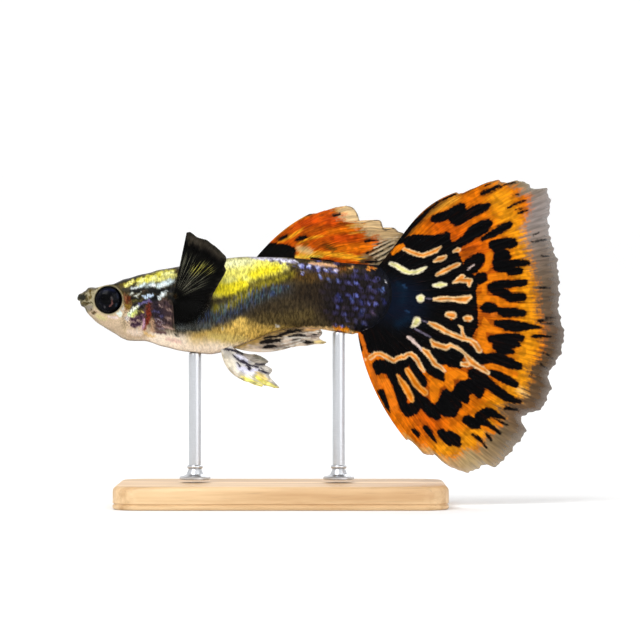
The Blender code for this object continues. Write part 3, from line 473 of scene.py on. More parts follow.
TAIL_INNER_DARK = (
    (49, 60), (47, 78), (38, 95), (32, 109), (25, 112), (16, 113), (5, 124), (0, 122), (-5, 124),
    (-10, 126), (-15, 128), (-20, 126), (-30, 127), (-36, 119), (-41, 108), (-45, 95), (-52, 82),
    (-60, 76), (-70, 66), (-81, 58),
)
TAIL_BLACK = (
    ((435, 219, 4.5), (447, 215.5, 5), (455, 214, 8), (461.5, 207, 4.2)),
    ((456, 219, 7), (466, 215.5, 5.5), (477, 210, 5.5), (487, 206.5, 3.6)),
    ((408, 240, 3.5), (416, 242, 7.5), (424, 243.5, 7.5), (434, 243.5, 6), (443, 240, 6.5),
     (447, 235.5, 3.8)),
    ((447, 247, 4), (456, 245.5, 4.2), (466, 239.5, 5), (474, 232, 7), (482, 227.5, 7), (489, 223.5, 4)),
    ((483, 239, 2.5), (492, 234.5, 4), (501, 229, 4.2), (509, 225, 3.4)),
    ((472, 265, 9), (479, 259, 6.5)), ((493, 245, 5), (503, 244, 6), (512, 243, 5.2)),
    ((499, 250, 6), (502, 257, 9), (500, 265, 8), (508, 268, 8)),
    ((511, 263.5, 4.5), (520, 263, 3.8), (527, 262.5, 2.8)), ((512, 271, 5), (519, 271, 4.2)),
    ((481, 278, 6.5),), ((493, 287, 6), (503, 284.5, 5), (515, 283, 3.8), (524, 283, 3.6)),
    ((495, 290, 5.5), (505, 293.5, 5), (511, 297.5, 5), (522, 297.5, 4.6)),
    ((485, 307, 5.5), (492, 308, 5.5)),
    ((497, 311, 3.5), (505, 312.5, 5), (515, 312.5, 4.8), (523, 313.5, 3.5)),
    ((497, 323, 3.5), (506, 325, 5.5), (516, 326.5, 5.5), (526, 327, 4), (535, 327, 2), (543, 328, 0.8)),
    ((491, 339, 4), (502, 340, 6.5), (513, 338, 5), (521, 338, 3.6)),
    ((497, 345, 5.5), (508, 345, 5), (518, 344.5, 3)), ((500, 350, 5), (507, 351, 4), (512, 352, 2.6)),
    ((452, 340, 3.5), (461, 344, 3.5), (469, 350, 5), (476, 356, 6)),
    ((480, 359, 6), (490, 358, 5.5), (500, 359.5, 6), (510, 363.5, 5.5), (518, 366, 4.2)),
    ((491, 372.5, 3), (499, 376, 4.8), (508, 380.5, 5), (515, 384, 4)),
    ((473, 374, 6), (483, 380, 6.5), (491, 386, 5), (498, 391.5, 5), (505, 396.5, 4.5), (513, 400, 3.2),
     (520, 402, 1.8)),
    ((463, 388, 8), (472, 386, 8), (479, 390, 6), (479, 395, 4)), ((463, 396, 6), (466, 400, 3.5)),
    ((399, 395, 3.5), (402, 404, 5), (408, 411, 6.5), (413, 408, 7)),
    ((416, 398, 6), (424, 403, 6), (432, 411, 7), (437, 416, 4.5)),
    ((443, 406, 9), (450, 410, 8), (456, 405, 6)),
    ((447, 396, 7), (455, 394, 8), (462, 393, 8)),
    ((381, 392, 3.5), (384, 399, 2.8), (387, 406, 2.2), (389.5, 412, 1)),
    ((413.5, 430.5, 2.2), (417.5, 434.5, 2.6)),
    ((425.5, 428, 3), (429, 432.5, 3), (432.5, 437.5, 2.2), (435.5, 442, 1)),
    ((441, 433, 4.5), (446, 438.5, 5), (449, 443, 3.5)),
    ((449, 436, 5.5), (455, 440, 6), (458.5, 444.5, 3)),
    ((467, 420, 5), (473, 423.5, 6), (478, 425, 4.5)),
    ((480, 417, 6), (486, 413.5, 6), (492, 413, 4.5), (498, 416, 2.5), (505, 419, 1)),
    ((482, 421, 5), (488, 425, 4), (494, 429, 2.5), (500, 433, 1.4)),
    ((490, 418, 2), (497, 421, 1.8), (508, 425, .8)),
    ((473, 434.5, 1.6), (478, 438, 2.2), (482, 442, 1.6), (487, 448, .8)),
    ((486, 434, 1.2), (489, 437, 2), (491, 440, 1.2)),
    ((505, 408, 2.2), (511, 409, 1.6), (517, 410, .8)),
    ((378, 366, 6.5), (387, 367, 7.5), (397, 368, 7), (405, 363, 5), (410, 360, 3.5)),
    ((391, 374, 5), (396, 383, 5), (400, 392, 5.5), (402, 400, 5.5)),
    ((402, 372, 4), (408, 382, 3.6), (413, 391, 4), (418, 398, 6)), ((377, 371, 4.5),),
    ((412, 364, 4), (418, 374, 4.5), (423, 383, 4.8)),
    ((418, 355, 3), (425, 363, 4.5), (432, 370, 6), (440, 375, 5), (444, 378, 4)),
    ((453, 360, 8), (459, 364, 5)),
    ((481.5, 194, 1.8), (487, 191.5, 2.4), (494, 188.5, 2.2), (500, 186.5, 1.4), (506, 184.5, 1),
     (515, 182.5, .8)),
    ((485, 185.5, .9), (489, 184, .7)), ((513, 195.2, .8), (518, 194.2, .7)),
    ((508, 208, 1.4), (514, 204.5, 1.7), (520, 202.2, 1.5), (525, 200.5, .7)),
    ((515.5, 210, 1.1), (521, 208.3, 1)),
    ((518.5, 213.5, 1.2), (522, 212, 1.6), (527, 210.5, .8)),
    ((531, 242, .9), (537, 240.8, 1.1), (545, 239.5, .6)),
    ((541, 255.5, .8), (549, 256.5, .7)), ((546, 318.2, .9), (555, 318.5, .6)),
    ((538, 321, 1.2), (543, 321.8, 1.3), (549, 323, 1), (553, 323.5, .5)),
    ((532.5, 336.5, 1.2), (536, 336.3, 2.2), (542, 336, 1.8), (550, 337, 1)),
    ((540, 288, .7), (550, 288, .6)), ((544, 353, .8), (553, 359, .5)), ((540, 364, .8), (546, 368, .6)),
    ((530, 374, .9), (540, 378, .6)), ((533, 236, .8), (538, 233, .8)),
    ((381, 263, 1.8), (400, 240.8, 2.2), (410, 227.5, 2.4), (420, 218.5, 2.6), (428.3, 210, 2),
     (440, 200.4, 1.3),
     (455, 194.2, .8)),
)
PEACH, ORANGE, AMBER = (254, 214, 160), (236, 128, 12), (242, 146, 52)
CREAM, YELLOW = (252, 240, 205), (242, 235, 150)
ORANGE_BROWN, DEEP_ORANGE, PALE_ORANGE = (222, 112, 22), (240, 125, 20), (246, 172, 88)
PINK_WHITE, LILAC_GREY = (225, 200, 190), (120, 110, 130)
# Colour at a stroke's edge, colour in its middle, and the strokes
TAIL_LIGHT = (
    (ORANGE, ORANGE, ((393, 253, 2), (398, 248, 2.6), (402, 246.5, 2.6))),
    (PEACH, AMBER, ((404, 249, 2), (411, 252, 2.2), (418, 254.5, 2.4), (423, 255.5, 2.2), (430, 253, 2.2),
                     (436, 250.5, 2.4), (440.5, 247, 1.2)),
     ((434, 261.5, 1.2), (439, 259, 2.8), (443, 258, 2.6), (446, 256, 1)),
     ((437, 274.5, 1.8), (443, 271.5, 2.2), (449, 268.5, 2.4), (456, 265, 2.2), (459, 264, 1.6)),
     ((453, 282.5, 1), (458, 280, 2.8), (462, 277, 3)),
     ((461, 280, 2.6), (467, 280.5, 2.8), (470, 280.5, 2.6)),
     ((469, 282, 2.4), (469, 285, 1.8)), ((453.5, 251.5, 1.2), (458, 250, 2.6)),
     ((434, 299.5, 1.6), (440, 299, 2.8), (447, 298.5, 2.6), (453, 299, 2.4), (459, 299.5, 3.6),
      (465, 299.3, 4),
      (470, 297, 2.2)),
     ((448, 314.5, 3.2), (453, 315.5, 3.8)), ((466, 318.5, 3.2), (470, 318.5, 3)),
     ((429.5, 323, 1.8), (434, 325, 2.8), (440, 328, 2.8), (446, 331.5, 2.6), (451, 334, 2.2),
      (456, 336, 2.6),
      (462, 338.5, 2.6), (470, 340, 2.2), (475, 344, 2.8), (479, 350, 3.2)),
     ((459, 325.5, .8), (462, 328, 1.2), (462.5, 333, 1.8), (464, 337, 2.4)),
     ((423, 349.5, 2), (427, 352.5, 3), (431, 358, 2.6), (435, 364, 2.8), (440, 367, 2.2), (444, 371, 1.5)),
     ((431, 340, 1.4), (434, 344, 3.2), (440, 346, 3.2), (446, 347.5, 3), (450, 345, 2.2), (455, 347, 1.8),
      (461, 350.5, 1.4), (465, 354, 1.6), (468, 358, 2.6), (472, 362.5, 3.4), (478, 366.5, 2.6),
      (484, 369.5, 3),
      (488, 373, 1.6)),
     ((462, 364, 2), (467, 364.5, 3)),
     ((367, 359, 2.6), (371, 357, 2.5), (375, 354, 2.4), (380, 353.5, 2.4), (385, 356, 2.4),
      (390, 359, 2.4),
      (394, 361, 2.4), (397, 358.5, 2.6), (401, 357, 2.6), (404, 357.5, 2.2), (407, 354.5, 2.2),
      (411, 354, 2.4),
      (415, 357, 2.6), (418, 361, 2.4), (420, 366, 2.2), (424, 371.5, 1.4))),
    (PALE_ORANGE, ORANGE, ((397, 375, .8), (401, 381, 2.6), (406, 388.5, 3.2), (410, 396, 3.4),
                           (411.5, 400, 2.6)),
     ((407, 370, 2.4), (411, 376, 3), (415, 383, 3.2), (420, 388.5, 3), (425, 392.5, 3.4))),
    (ORANGE, ORANGE, ((486, 367, 2.6), (492, 366, 2.6), (499, 368, 2.4), (507, 371.5, 2.2),
                      (515, 374.5, 3)),
     ((449, 376, 4.5), (457, 374, 4.5), (464, 376, 3.8)), ((449, 383, 5), (451, 388, 3)),
     ((441, 384, 3), (435, 384, 5), (434, 393, 5), (434, 399, 4)),
     ((484, 318, 1), (485, 323, 3.5), (488, 328, 4.2), (494, 331, 2.6), (502, 332, 1.2)),
     ((482, 330, 4), (481, 338, 4.5), (484, 346, 5), (487, 349, 4.5)),
     ((484, 287, 2.6), (484.5, 293, 2.4), (482, 298, 4.2), (480.5, 301.5, 3.6)),
     ((484, 298, 4), (490, 298.5, 2.6), (497, 300, 3), (502, 303.5, 3), (508, 305, 1.8), (516, 305, 1.8)),
     ((481, 286, 1.2), (486, 283, 1.2), (491, 281, 1.2)),
     ((491, 277, 3.5), (498, 276, 3.5), (504, 276, 3.3)),
     ((489, 255, 3.4), (488, 262, 2.8), (486.5, 268, 3), (480, 271, 1.5)),
     ((491, 419, 1.2), (496, 422, 1.6), (502, 426, 1.2)),
     ((482, 427, 1.4), (488, 429.5, 1.8), (494, 433, 1.6))),
    (DEEP_ORANGE, DEEP_ORANGE, ((380, 383, 3.5), (386, 382, 3.5), (389, 391, 4), (392, 400, 4.2),
                                (394, 408, 4.5))),
    (CREAM, YELLOW, ((391, 263.5, 2), (397, 266, 2.6), (403, 270, 3), (409, 272.5, 2.4), (416, 272, 2.2),
                     (421, 270, 2),
                     (426, 267, 1.2)),
     ((434, 285.5, 1.6), (440, 284.8, 3.2), (446, 284.3, 1.6)), ((420.5, 298.5, 4.2),),
     ((417, 320.5, 4), (415, 324, 3.2), (412, 326.5, 1.4))),
    (ORANGE, ORANGE, ((451.5, 318.5, 1.4),), ((467.5, 321, 1.3),)),
    (ORANGE_BROWN, ORANGE_BROWN, ((492, 315, 1.6), (495.5, 314.5, 2.2)),
     ((358, 333, 1.4), (361, 336, 1.8), (364, 346, 1.8), (366.5, 357, 2.2), (370, 368, 2.4),
      (374, 378, 2.6),
      (379, 386, 3))),
    (PINK_WHITE, PINK_WHITE, ((408, 337, 1.6), (411, 339, 1.9), (415, 343, 1.6), (419, 347, 1.2),
                              (422, 350, 1.2)),
     ((468, 269, .8), (474, 265, .7))),
    (LILAC_GREY, LILAC_GREY, ((415, 329, .8), (423, 333, .9), (430, 337, .7)),
     ((421, 320, .7), (428, 322.5, .7)),
     ((425, 298.5, .6), (432, 299, .6))),
)
TAIL_GROUND = (234, 120, 6)
TAIL_WASHES = (
    ((222, 98, 5), 12, ((440, 225, 12), (470, 245, 14), (490, 270, 10)), ((400, 380, 16), (430, 420, 14))),
    ((246, 156, 18), 10, ((500, 200, 14), (520, 240, 12), (528, 290, 12), (530, 340, 12), (520, 385, 14),
                          (495, 415, 14), (470, 440, 12), (440, 450, 10))),
    ((226, 152, 42), 4, ((428, 212, 4), (440, 206, 5), (456, 198, 4))),
    ((150, 62, 10), 1.4, ((463, 250.5, 1.6), (470, 248, 1.4), (478, 246, 1)), ((486, 327.5, 1.6),),
     ((480, 344, 2),)),
    ((92, 48, 20), 1.2, ((463, 218, .8), (474, 213, 1))),
    ((96, 68, 26), 4, ((390, 254, 1.5), (402, 240, 2.5), (413, 226, 3), (424, 215, 3), (435, 206, 2),
                       (446, 200, 1))),
    ((176, 80, 8), 7, ((470, 255, 5), (488, 275, 7), (486, 300, 7), (484, 330, 8), (474, 368, 9),
                       (452, 384, 8),
                       (432, 394, 8))),
    ((252, 196, 116), 4, ((520, 390, 4), (531, 399, 4), (522, 408, 3))),
)
TAIL_INK = (5, 5, 6)
TAIL_INK_WASHES = (
    ((9, 18, 34), 14, ((385, 300, 20), (403, 303, 24))),
    ((8, 28, 46), 5, ((398, 284, 2), (404, 292, 3), (402, 302, 3)), ((408, 318, 3), (398, 324, 3))),
    ((34, 62, 96), 1.5, ((403, 285, 1), (406, 288, .8)), ((406, 311, .8), (409, 312, .8))),
    ((40, 20, 8), 3, ((383, 258, 3), (392, 250, 3)),),
)
# Angle, width in drawing units and colour of the clear margin
TAIL_MARGIN = (
    (50, 2.5, 190, 120, 40), (38, 5, 176, 126, 64), (31, 13, 140, 126, 106), (24, 24, 148, 136, 130),
    (10, 25, 124, 108, 94), (0, 23, 102, 84, 66), (-12, 21, 94, 74, 56), (-20, 18, 92, 70, 48),
    (-27, 23, 94, 72, 50), (-35, 22, 102, 78, 56), (-42, 29, 120, 98, 70), (-50, 26, 156, 130, 92),
    (-58, 19, 194, 162, 112), (-66, 9, 214, 158, 88), (-80, 4, 215, 120, 30),
)


# Mesh making


def to_metres(places):
    """(s, y, h) in mm as model points in metres."""
    places = np.asarray(places, float)
    return np.stack((SNOUT_X + places[..., 0], places[..., 1], EYE_LEVEL + places[..., 2]), -1) * MM


def mesh_object(name, places, faces, paint=None, numbers=None, vectors=None, uv=None):
    """A smooth mesh from arrays. paint, numbers and vectors are values on its points, by name."""
    mesh = bpy.data.meshes.new(name)
    points = to_metres(places).reshape(-1, 3)
    faces = np.asarray(faces)
    mesh.vertices.add(len(points))
    mesh.vertices.foreach_set("co", points.astype(np.float32).ravel())
    corners = faces.shape[1]
    mesh.loops.add(faces.size)
    mesh.loops.foreach_set("vertex_index", faces.astype(np.int32).ravel())
    mesh.polygons.add(len(faces))
    mesh.polygons.foreach_set("loop_start", np.arange(0, faces.size, corners, dtype=np.int32))
    mesh.update(calc_edges=True)
    mesh.validate()
    for kind, field, width, values in (
        ("FLOAT_COLOR", "color", 4, paint),
        ("FLOAT", "value", 1, numbers),
        ("FLOAT_VECTOR", "vector", 3, vectors),
    ):
        for key, data in (values or {}).items():
            data = np.asarray(data, float).reshape(len(points), -1)
            if kind == "FLOAT_COLOR":
                data = np.concatenate((linear(data) * PAINT_GAIN, np.ones((len(points), 1))), 1)
            layer = mesh.attributes.new(key, kind, "POINT")
            layer.data.foreach_set(field, data.astype(np.float32).reshape(-1, width).ravel())
    if uv is not None:
        layer = mesh.uv_layers.new(name="OFBake")
        layer.data.foreach_set("uv", np.asarray(uv)[faces.ravel()].astype(np.float32).ravel())
    mesh.shade_smooth()
    obj = bpy.data.objects.new(name, mesh)
    bpy.context.scene.collection.objects.link(obj)
    return obj


def weld(places, faces, values, grain=1e-4):
    """Joins points that lie together, and makes triangles of the quads that this doesn't flatten."""
    flat = np.asarray(places).reshape(-1, 3)
    cells = np.round(flat / grain).astype(np.int64)
    _, first, index = np.unique(cells, axis=0, return_index=True, return_inverse=True)
    triangles = np.concatenate((faces[:, [0, 1, 2]], faces[:, [0, 2, 3]]))
    triangles = index.reshape(-1)[triangles]
    a, b, c = triangles.T
    triangles = triangles[(a != b) & (b != c) & (a != c)]
    kept = {key: np.asarray(value).reshape(len(flat), -1)[first] for key, value in values.items()}
    return flat[first], triangles, kept


def grid_faces(rows, columns, wrap=False):
    """The quads of a grid of points, closed across its columns where wrap is set."""
    last = columns if wrap else columns - 1
    j, i = np.meshgrid(np.arange(rows - 1), np.arange(last), indexing="ij")
    a = j * columns + i
    b = j * columns + (i + 1) % columns
    return np.stack((a, b, b + columns, a + columns), -1).reshape(-1, 4)


def closed_sheet_faces(rows, columns):
    """The quads of a thin plate: a grid of points, the same grid under it, and a rim that joins them."""
    count = rows * columns
    face = grid_faces(rows, columns)
    edge = np.concatenate((
        np.arange(columns), np.arange(1, rows) * columns + columns - 1,
        (rows - 1) * columns + np.arange(columns - 2, -1, -1), np.arange(rows - 2, 0, -1) * columns,
    ))
    following = np.roll(edge, -1)
    sides = np.stack((following, edge, edge + count, following + count), -1)
    return np.concatenate((face, face[:, ::-1] + count, sides))


def grid_normals(places, wrap=False):
    """Unit normals of a grid of points."""
    padded = places
    if wrap:
        padded = np.concatenate((places[:, -1:], places, places[:, :1]), 1)
    along = np.gradient(places, axis=0)
    across = np.gradient(padded, axis=1)
    if wrap:
        across = across[:, 1:-1]
    normal = np.cross(along, across)
    length = np.linalg.norm(normal, axis=-1, keepdims=True)
    return normal / np.maximum(length, 1e-9)


# The skin


def section_values(s):
    back, belly, half = curve(BACK_LINE, s), curve(BELLY_LINE, s), curve(HALF_WIDTH, s)
    inset = SKIN_INSET * smoothstep(4.8, 8.0, s)
    upper, lower = curve(SQUARENESS, s, 1), curve(SQUARENESS, s, 2)
    share = WIDEST_IN_HEAD + (WIDEST_IN_TRUNK - WIDEST_IN_HEAD) * smoothstep(6.0, 12.0, s)
    widest = belly + share * (back - belly)
    return back - inset, belly + inset, half - inset, upper, lower, widest


def section_half(s, samples=721):
    """Dense (y, h) round the left half of one cross-section, from the back to the belly."""
    back, belly, half, upper, lower, widest = section_values(s)
    turn = np.linspace(0.5 * math.pi, 1.5 * math.pi, samples)
    up = np.sin(turn) >= 0
    power = np.where(up, upper, lower)
    reach = np.where(up, back - widest, widest - belly)
    across = -half * np.abs(np.cos(turn)) ** (2 / power)
    height = widest + reach * np.sign(np.sin(turn)) * np.abs(np.sin(turn)) ** (2 / power)
    return across, height


def skin_stations():
    front = np.arange(0.0, 1.3, 0.035)
    head = np.arange(1.32, 5.4, 0.06)
    rest = np.arange(5.45, TAIL_POLE[0] + STALK_PINCH[1] + 0.1, 0.11)
    return np.concatenate((front, head, rest))


def body_grid():
    """The skin's points before its folds, in rings of even steps from the back over the left side."""
    stations = skin_stations()
    half_columns = SKIN_COLUMNS // 2
    grid = np.empty((len(stations), SKIN_COLUMNS, 3))
    for k, s in enumerate(stations):
        y, h = section_half(float(s))
        length = np.concatenate(([0], np.cumsum(np.hypot(np.diff(y), np.diff(h)))))
        target = np.linspace(0, length[-1], half_columns + 1)
        y_even, h_even = np.interp(target, length, y), np.interp(target, length, h)
        grid[k, :, 0] = s
        grid[k, : half_columns + 1, 1], grid[k, : half_columns + 1, 2] = y_even, h_even
        grid[k, half_columns + 1 :, 1] = -y_even[half_columns - 1 : 0 : -1]
        grid[k, half_columns + 1 :, 2] = h_even[half_columns - 1 : 0 : -1]
    return grid


def pinch_stalk(grid):
    """The stalk thins and ends on an arc about the pole of the tail's rays."""
    ds, dh = grid[..., 0] - TAIL_POLE[0], grid[..., 2] - TAIL_POLE[1]
    radius = np.hypot(ds, dh)
    behind = smoothstep(-1.5, 0.5, ds)
    near, far = STALK_PINCH
    thin = np.sqrt(np.clip(1 - ((radius - near) / (far - near)).clip(0, 1) ** 2, 0, 1))
    grid[..., 1] *= 1 - behind * (1 - thin)
    over = (radius > far) & (ds > 0)
    share = np.where(over, far / np.maximum(radius, 1e-6), 1.0)
    grid[..., 0] = TAIL_POLE[0] + ds * share
    grid[..., 2] = TAIL_POLE[1] + dh * share
    return grid


def line_depth(s, h, line, width):
    """1 along a line of the side view, falling off over width mm."""
    gap = np.maximum(stroke_gap(s, h, line), 0)
    return np.exp(-((gap / width) ** 2))


def gill_shape(s, h):
    """How far the gill cover stands out: low in front, rising to a free edge with a slit behind it."""
    ds, dh = s - GILL_AT[0], h - GILL_AT[1]
    across = (ds * math.cos(GILL_LEAN) - dh * math.sin(GILL_LEAN)) / GILL_HALF[0]
    up = (ds * math.sin(GILL_LEAN) + dh * math.cos(GILL_LEAN)) / GILL_HALF[1]
    radius = np.hypot(across, up)
    rear = smoothstep(-0.7, 0.5, across)
    plate = GILL_RISE * rear * smoothstep(0.2, 0.9, radius) * (1 - smoothstep(0.97, 1.05, radius))
    slit = GILL_SLIT * rear * np.exp(-(((radius - 1.09) / 0.05) ** 2))
    groove = GILL_GROOVE * np.exp(-(((across + 0.75) / 0.08) ** 2)) * (np.abs(up) < 0.8)
    return plate - slit - groove


def outward_normals(grid):
    """Unit normals of the body's rings, turned away from its middle."""
    normal = -grid_normals(grid, wrap=True)
    return normal * np.sign((normal[..., 1] * grid[..., 1]).sum())


def fold_head(grid):
    """Mouth line, lips, nostrils, orbits, gill covers and the pectorals' bases."""
    normal = outward_normals(grid)
    s, y, h = grid[..., 0], np.abs(grid[..., 1]), grid[..., 2]
    move = -MOUTH_DEPTH * line_depth(s, h, MOUTH_LINE, MOUTH_WIDTH)
    for lip, width in LIPS:
        move += LIP_HEIGHT * line_depth(s, h, lip, width)
    from_nostril = np.hypot(s - NOSTRIL_AT[0], h - NOSTRIL_AT[1])
    move -= NOSTRIL_DEPTH * np.exp(-((from_nostril / NOSTRIL_RADIUS) ** 2))
    rim = from_nostril - NOSTRIL_RIM_RADIUS
    move += NOSTRIL_RIM_HEIGHT * np.exp(-((rim / 0.06) ** 2))
    move += gill_shape(s, h) * smoothstep(0.4, 1.2, y)
    base = np.hypot(s - PECTORAL_POLE[0], h - PECTORAL_POLE[1])
    move += PECTORAL_BASE_HEIGHT * (1 - smoothstep(0.3, 1.1, base))
    grid = grid + normal * move[..., None]
    from_eye = np.hypot(s - EYE_AT[0], h - EYE_AT[1])
    lateral = smoothstep(0.3, 1.0, y) * (1 - smoothstep(1.5, 2.3, from_eye))
    side = np.sign(grid[..., 1])
    y = np.abs(grid[..., 1])
    lid = LID_HEIGHT * np.exp(-(((from_eye - LID_RADIUS) / 0.10) ** 2))
    y += lateral * np.maximum(SOCKET_OUT - y, 0) + lid * lateral
    y -= (1 - smoothstep(1.26, 1.44, from_eye)) * np.maximum(y - SOCKET_FLOOR, 0)
    grid[..., 1] = side * y
    return grid


# The band of upright blue streaks between the yellow and the brown: x, middle y and half height
BLUE_BAND = (
    (192, 321, 2), (205, 319, 11), (222, 313, 14), (246, 301, 14), (262, 293, 12), (274, 290, 9),
    (290, 287, 2),
)


def blue_band(s, h):
    """0 to 1: how much of the blue streaks shows at a place."""
    x, up = drawing_x(s), drawing_y(h)
    across = np.abs(up - curve(BLUE_BAND, x)) / curve(BLUE_BAND, x, 2)
    return (1 - smoothstep(0.25, 1.0, across)) * (x > BLUE_BAND[0][0]) * (x < BLUE_BAND[-1][0])


BACK_SHADE = (46, 40, 20)
KEEL_SHADE = (118, 96, 74)
ORBIT_RIM_COLOUR = (182, 170, 132)
ORBIT_COLOUR = (24, 22, 20)
TAIL_ROOT_COLOUR = (4, 8, 20)


def shade_ends(canvas, y_share):
    """The back and the keel of the belly are darker than the flank."""
    over = 1 - smoothstep(0.0, 0.45, y_share)
    canvas.blend(0.55 * over * (canvas.y < 290), BACK_SHADE)
    canvas.blend(0.8 * (1 - smoothstep(0.10, 0.34, y_share)) * (canvas.y > 305), KEEL_SHADE)


def paint_body(s, y, h):
    """The skin's colours at places of the body."""
    x, up = drawing_x(s), drawing_y(h)
    canvas = Canvas(x, up, BODY_GROUND)
    half = np.maximum(curve(HALF_WIDTH, s), 0.2)
    for washes in (FLANK_WASHES, SHOULDER_WASHES, HEAD_WASHES, NAPE_WASHES):
        canvas.washes(washes)
    shade_ends(canvas, np.abs(y) / half)
    canvas.blend(0.9 * stalk_end(s, h), TAIL_ROOT_COLOUR)
    canvas.washes(STALK_WASHES)
    # The orbit's colours stay on the sides of the head
    lateral = smoothstep(0.60, 0.82, np.abs(y) / half)
    orbit = np.hypot(x - ORBIT_AT[0], up - ORBIT_AT[1])
    canvas.blend((1 - smoothstep(14.2, 16.2, orbit)) * 0.75 * lateral, ORBIT_RIM_COLOUR)
    canvas.blend((1 - smoothstep(13.2, 14.4, orbit)) * lateral, ORBIT_COLOUR)
    return canvas.colour


def stalk_end(s, h):
    """0 on the stalk, 1 where it has run out into the tail fin."""
    radius = np.hypot(s - TAIL_POLE[0], h - TAIL_POLE[1])
    return smoothstep(2.4, 3.6, radius) * (s > TAIL_POLE[0])


def make_skin(finish):
    grid = fold_head(pinch_stalk(body_grid()))
    normal = outward_normals(grid)
    rows, columns = grid.shape[:2]
    paint = paint_body(grid[..., 0], grid[..., 1], grid[..., 2])
    # The cheek and the throat are smoothly coloured, the rest is speckled
    mottle = 0.9 * smoothstep(4.3, 5.3, grid[..., 0]) * smoothstep(-3.2, -2.2, grid[..., 2])
    faces = grid_faces(rows, columns, wrap=True)
    places, triangles, values = weld(grid, faces, {"paint": paint, "mottle": mottle})
    skin = mesh_object("skin", places, triangles, paint={"paint": values["paint"]},
                       numbers={"mottle": values["mottle"]})
    finish_piece(skin, finish)
    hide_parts("head", "jaw", "gill_cover_left", "gill_cover_right", "trunk", "tail_stalk")
    return grid, normal


def finish_piece(obj, material):
    obj.data.materials.append(material)
    fix_normals(obj)
    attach(obj, "root")


def fix_normals(obj):
    """Turns the faces outwards, by the sign of the volume they close."""
    mesh = obj.data
    mesh.calc_loop_triangles()
    count = len(mesh.loop_triangles)
    corners = np.empty(count * 3, np.int32)
    mesh.loop_triangles.foreach_get("vertices", corners)
    points = np.empty(len(mesh.vertices) * 3)
    mesh.vertices.foreach_get("co", points)
    a, b, c = np.moveaxis(points.reshape(-1, 3)[corners.reshape(-1, 3)], 1, 0)
    if np.einsum("ij,ij->i", a, np.cross(b, c)).sum() < 0:
        mesh.flip_normals()


# Scales

SCALE_ROWS = 24
SCALE_STEPS_ALONG = 12
SCALE_STEPS_ACROSS = 12
SCALE_LIFT = 0.055
SCALE_THICKNESS = 0.02
# In the OFBake map each plate has a small patch, placed by where on the body the plate lies
PATCH = 0.003
MAP_MARGIN = 0.02
MAP_SPAN = 0.94
MAP_LENGTH = 34
# How far from the pole of the tail's rays the last scales are rooted
LAST_SCALE = 3.3
# The coat is joined into so many meshes, one behind the other
SCALE_PIECES = ("scales_front", "scales_middle", "scales_rear")


def scale_pitch(s):
    """Distance between scales of one row along the body."""
    return 0.80 + 0.14 * smoothstep(6, 12, s) * (1 - smoothstep(22, 31, s))


def scale_places():
    """Half-pitch places along the body, which rows take in turn."""
    places = [5.2]
    while places[-1] < 31.6:
        places.append(places[-1] + scale_pitch(places[-1]) / 2)
    return places


def first_scale(row_share):
    """Where scales begin: on the nape over the back, behind the gill cover on the side."""
    from_back = 1 - abs(row_share - 0.5) * 2
    return 4.9 + 3.6 * smoothstep(0.12, 0.4, from_back) + 0.8 * smoothstep(0.6, 0.95, from_back)


class Surface:
    """Points and normals of the skin at any place s along it and share v round it."""

    def __init__(self, grid, normal):
        self.grid, self.normal = grid, normal
        self.stations = skin_stations()

    def at(self, s, v):
        row = np.interp(s, self.stations, np.arange(len(self.stations)))
        column = (v % 1.0) * SKIN_COLUMNS
        j = np.clip(row.astype(int), 0, len(self.stations) - 2)
        i = column.astype(int)
        fj, fi = (row - j)[..., None], (column - i)[..., None]
        i %= SKIN_COLUMNS
        k = (i + 1) % SKIN_COLUMNS

        def mixed(values):
            near = values[j, i] * (1 - fi) + values[j, k] * fi
            far = values[j + 1, i] * (1 - fi) + values[j + 1, k] * fi
            return near * (1 - fj) + far * fj

        return mixed(self.grid), mixed(self.normal)


def scale_outline(along, across):
    """A scale's place in its own length and width: a narrow root and a round free edge."""
    width = 1 - 0.5 * (1 - smoothstep(0.0, 0.6, along)) - 0.16 * smoothstep(0.66, 1.0, along) ** 2
    bow = 0.29 * (1 - across**2) * smoothstep(0.3, 1.0, along)
    return 0.91 * along + bow, across * width


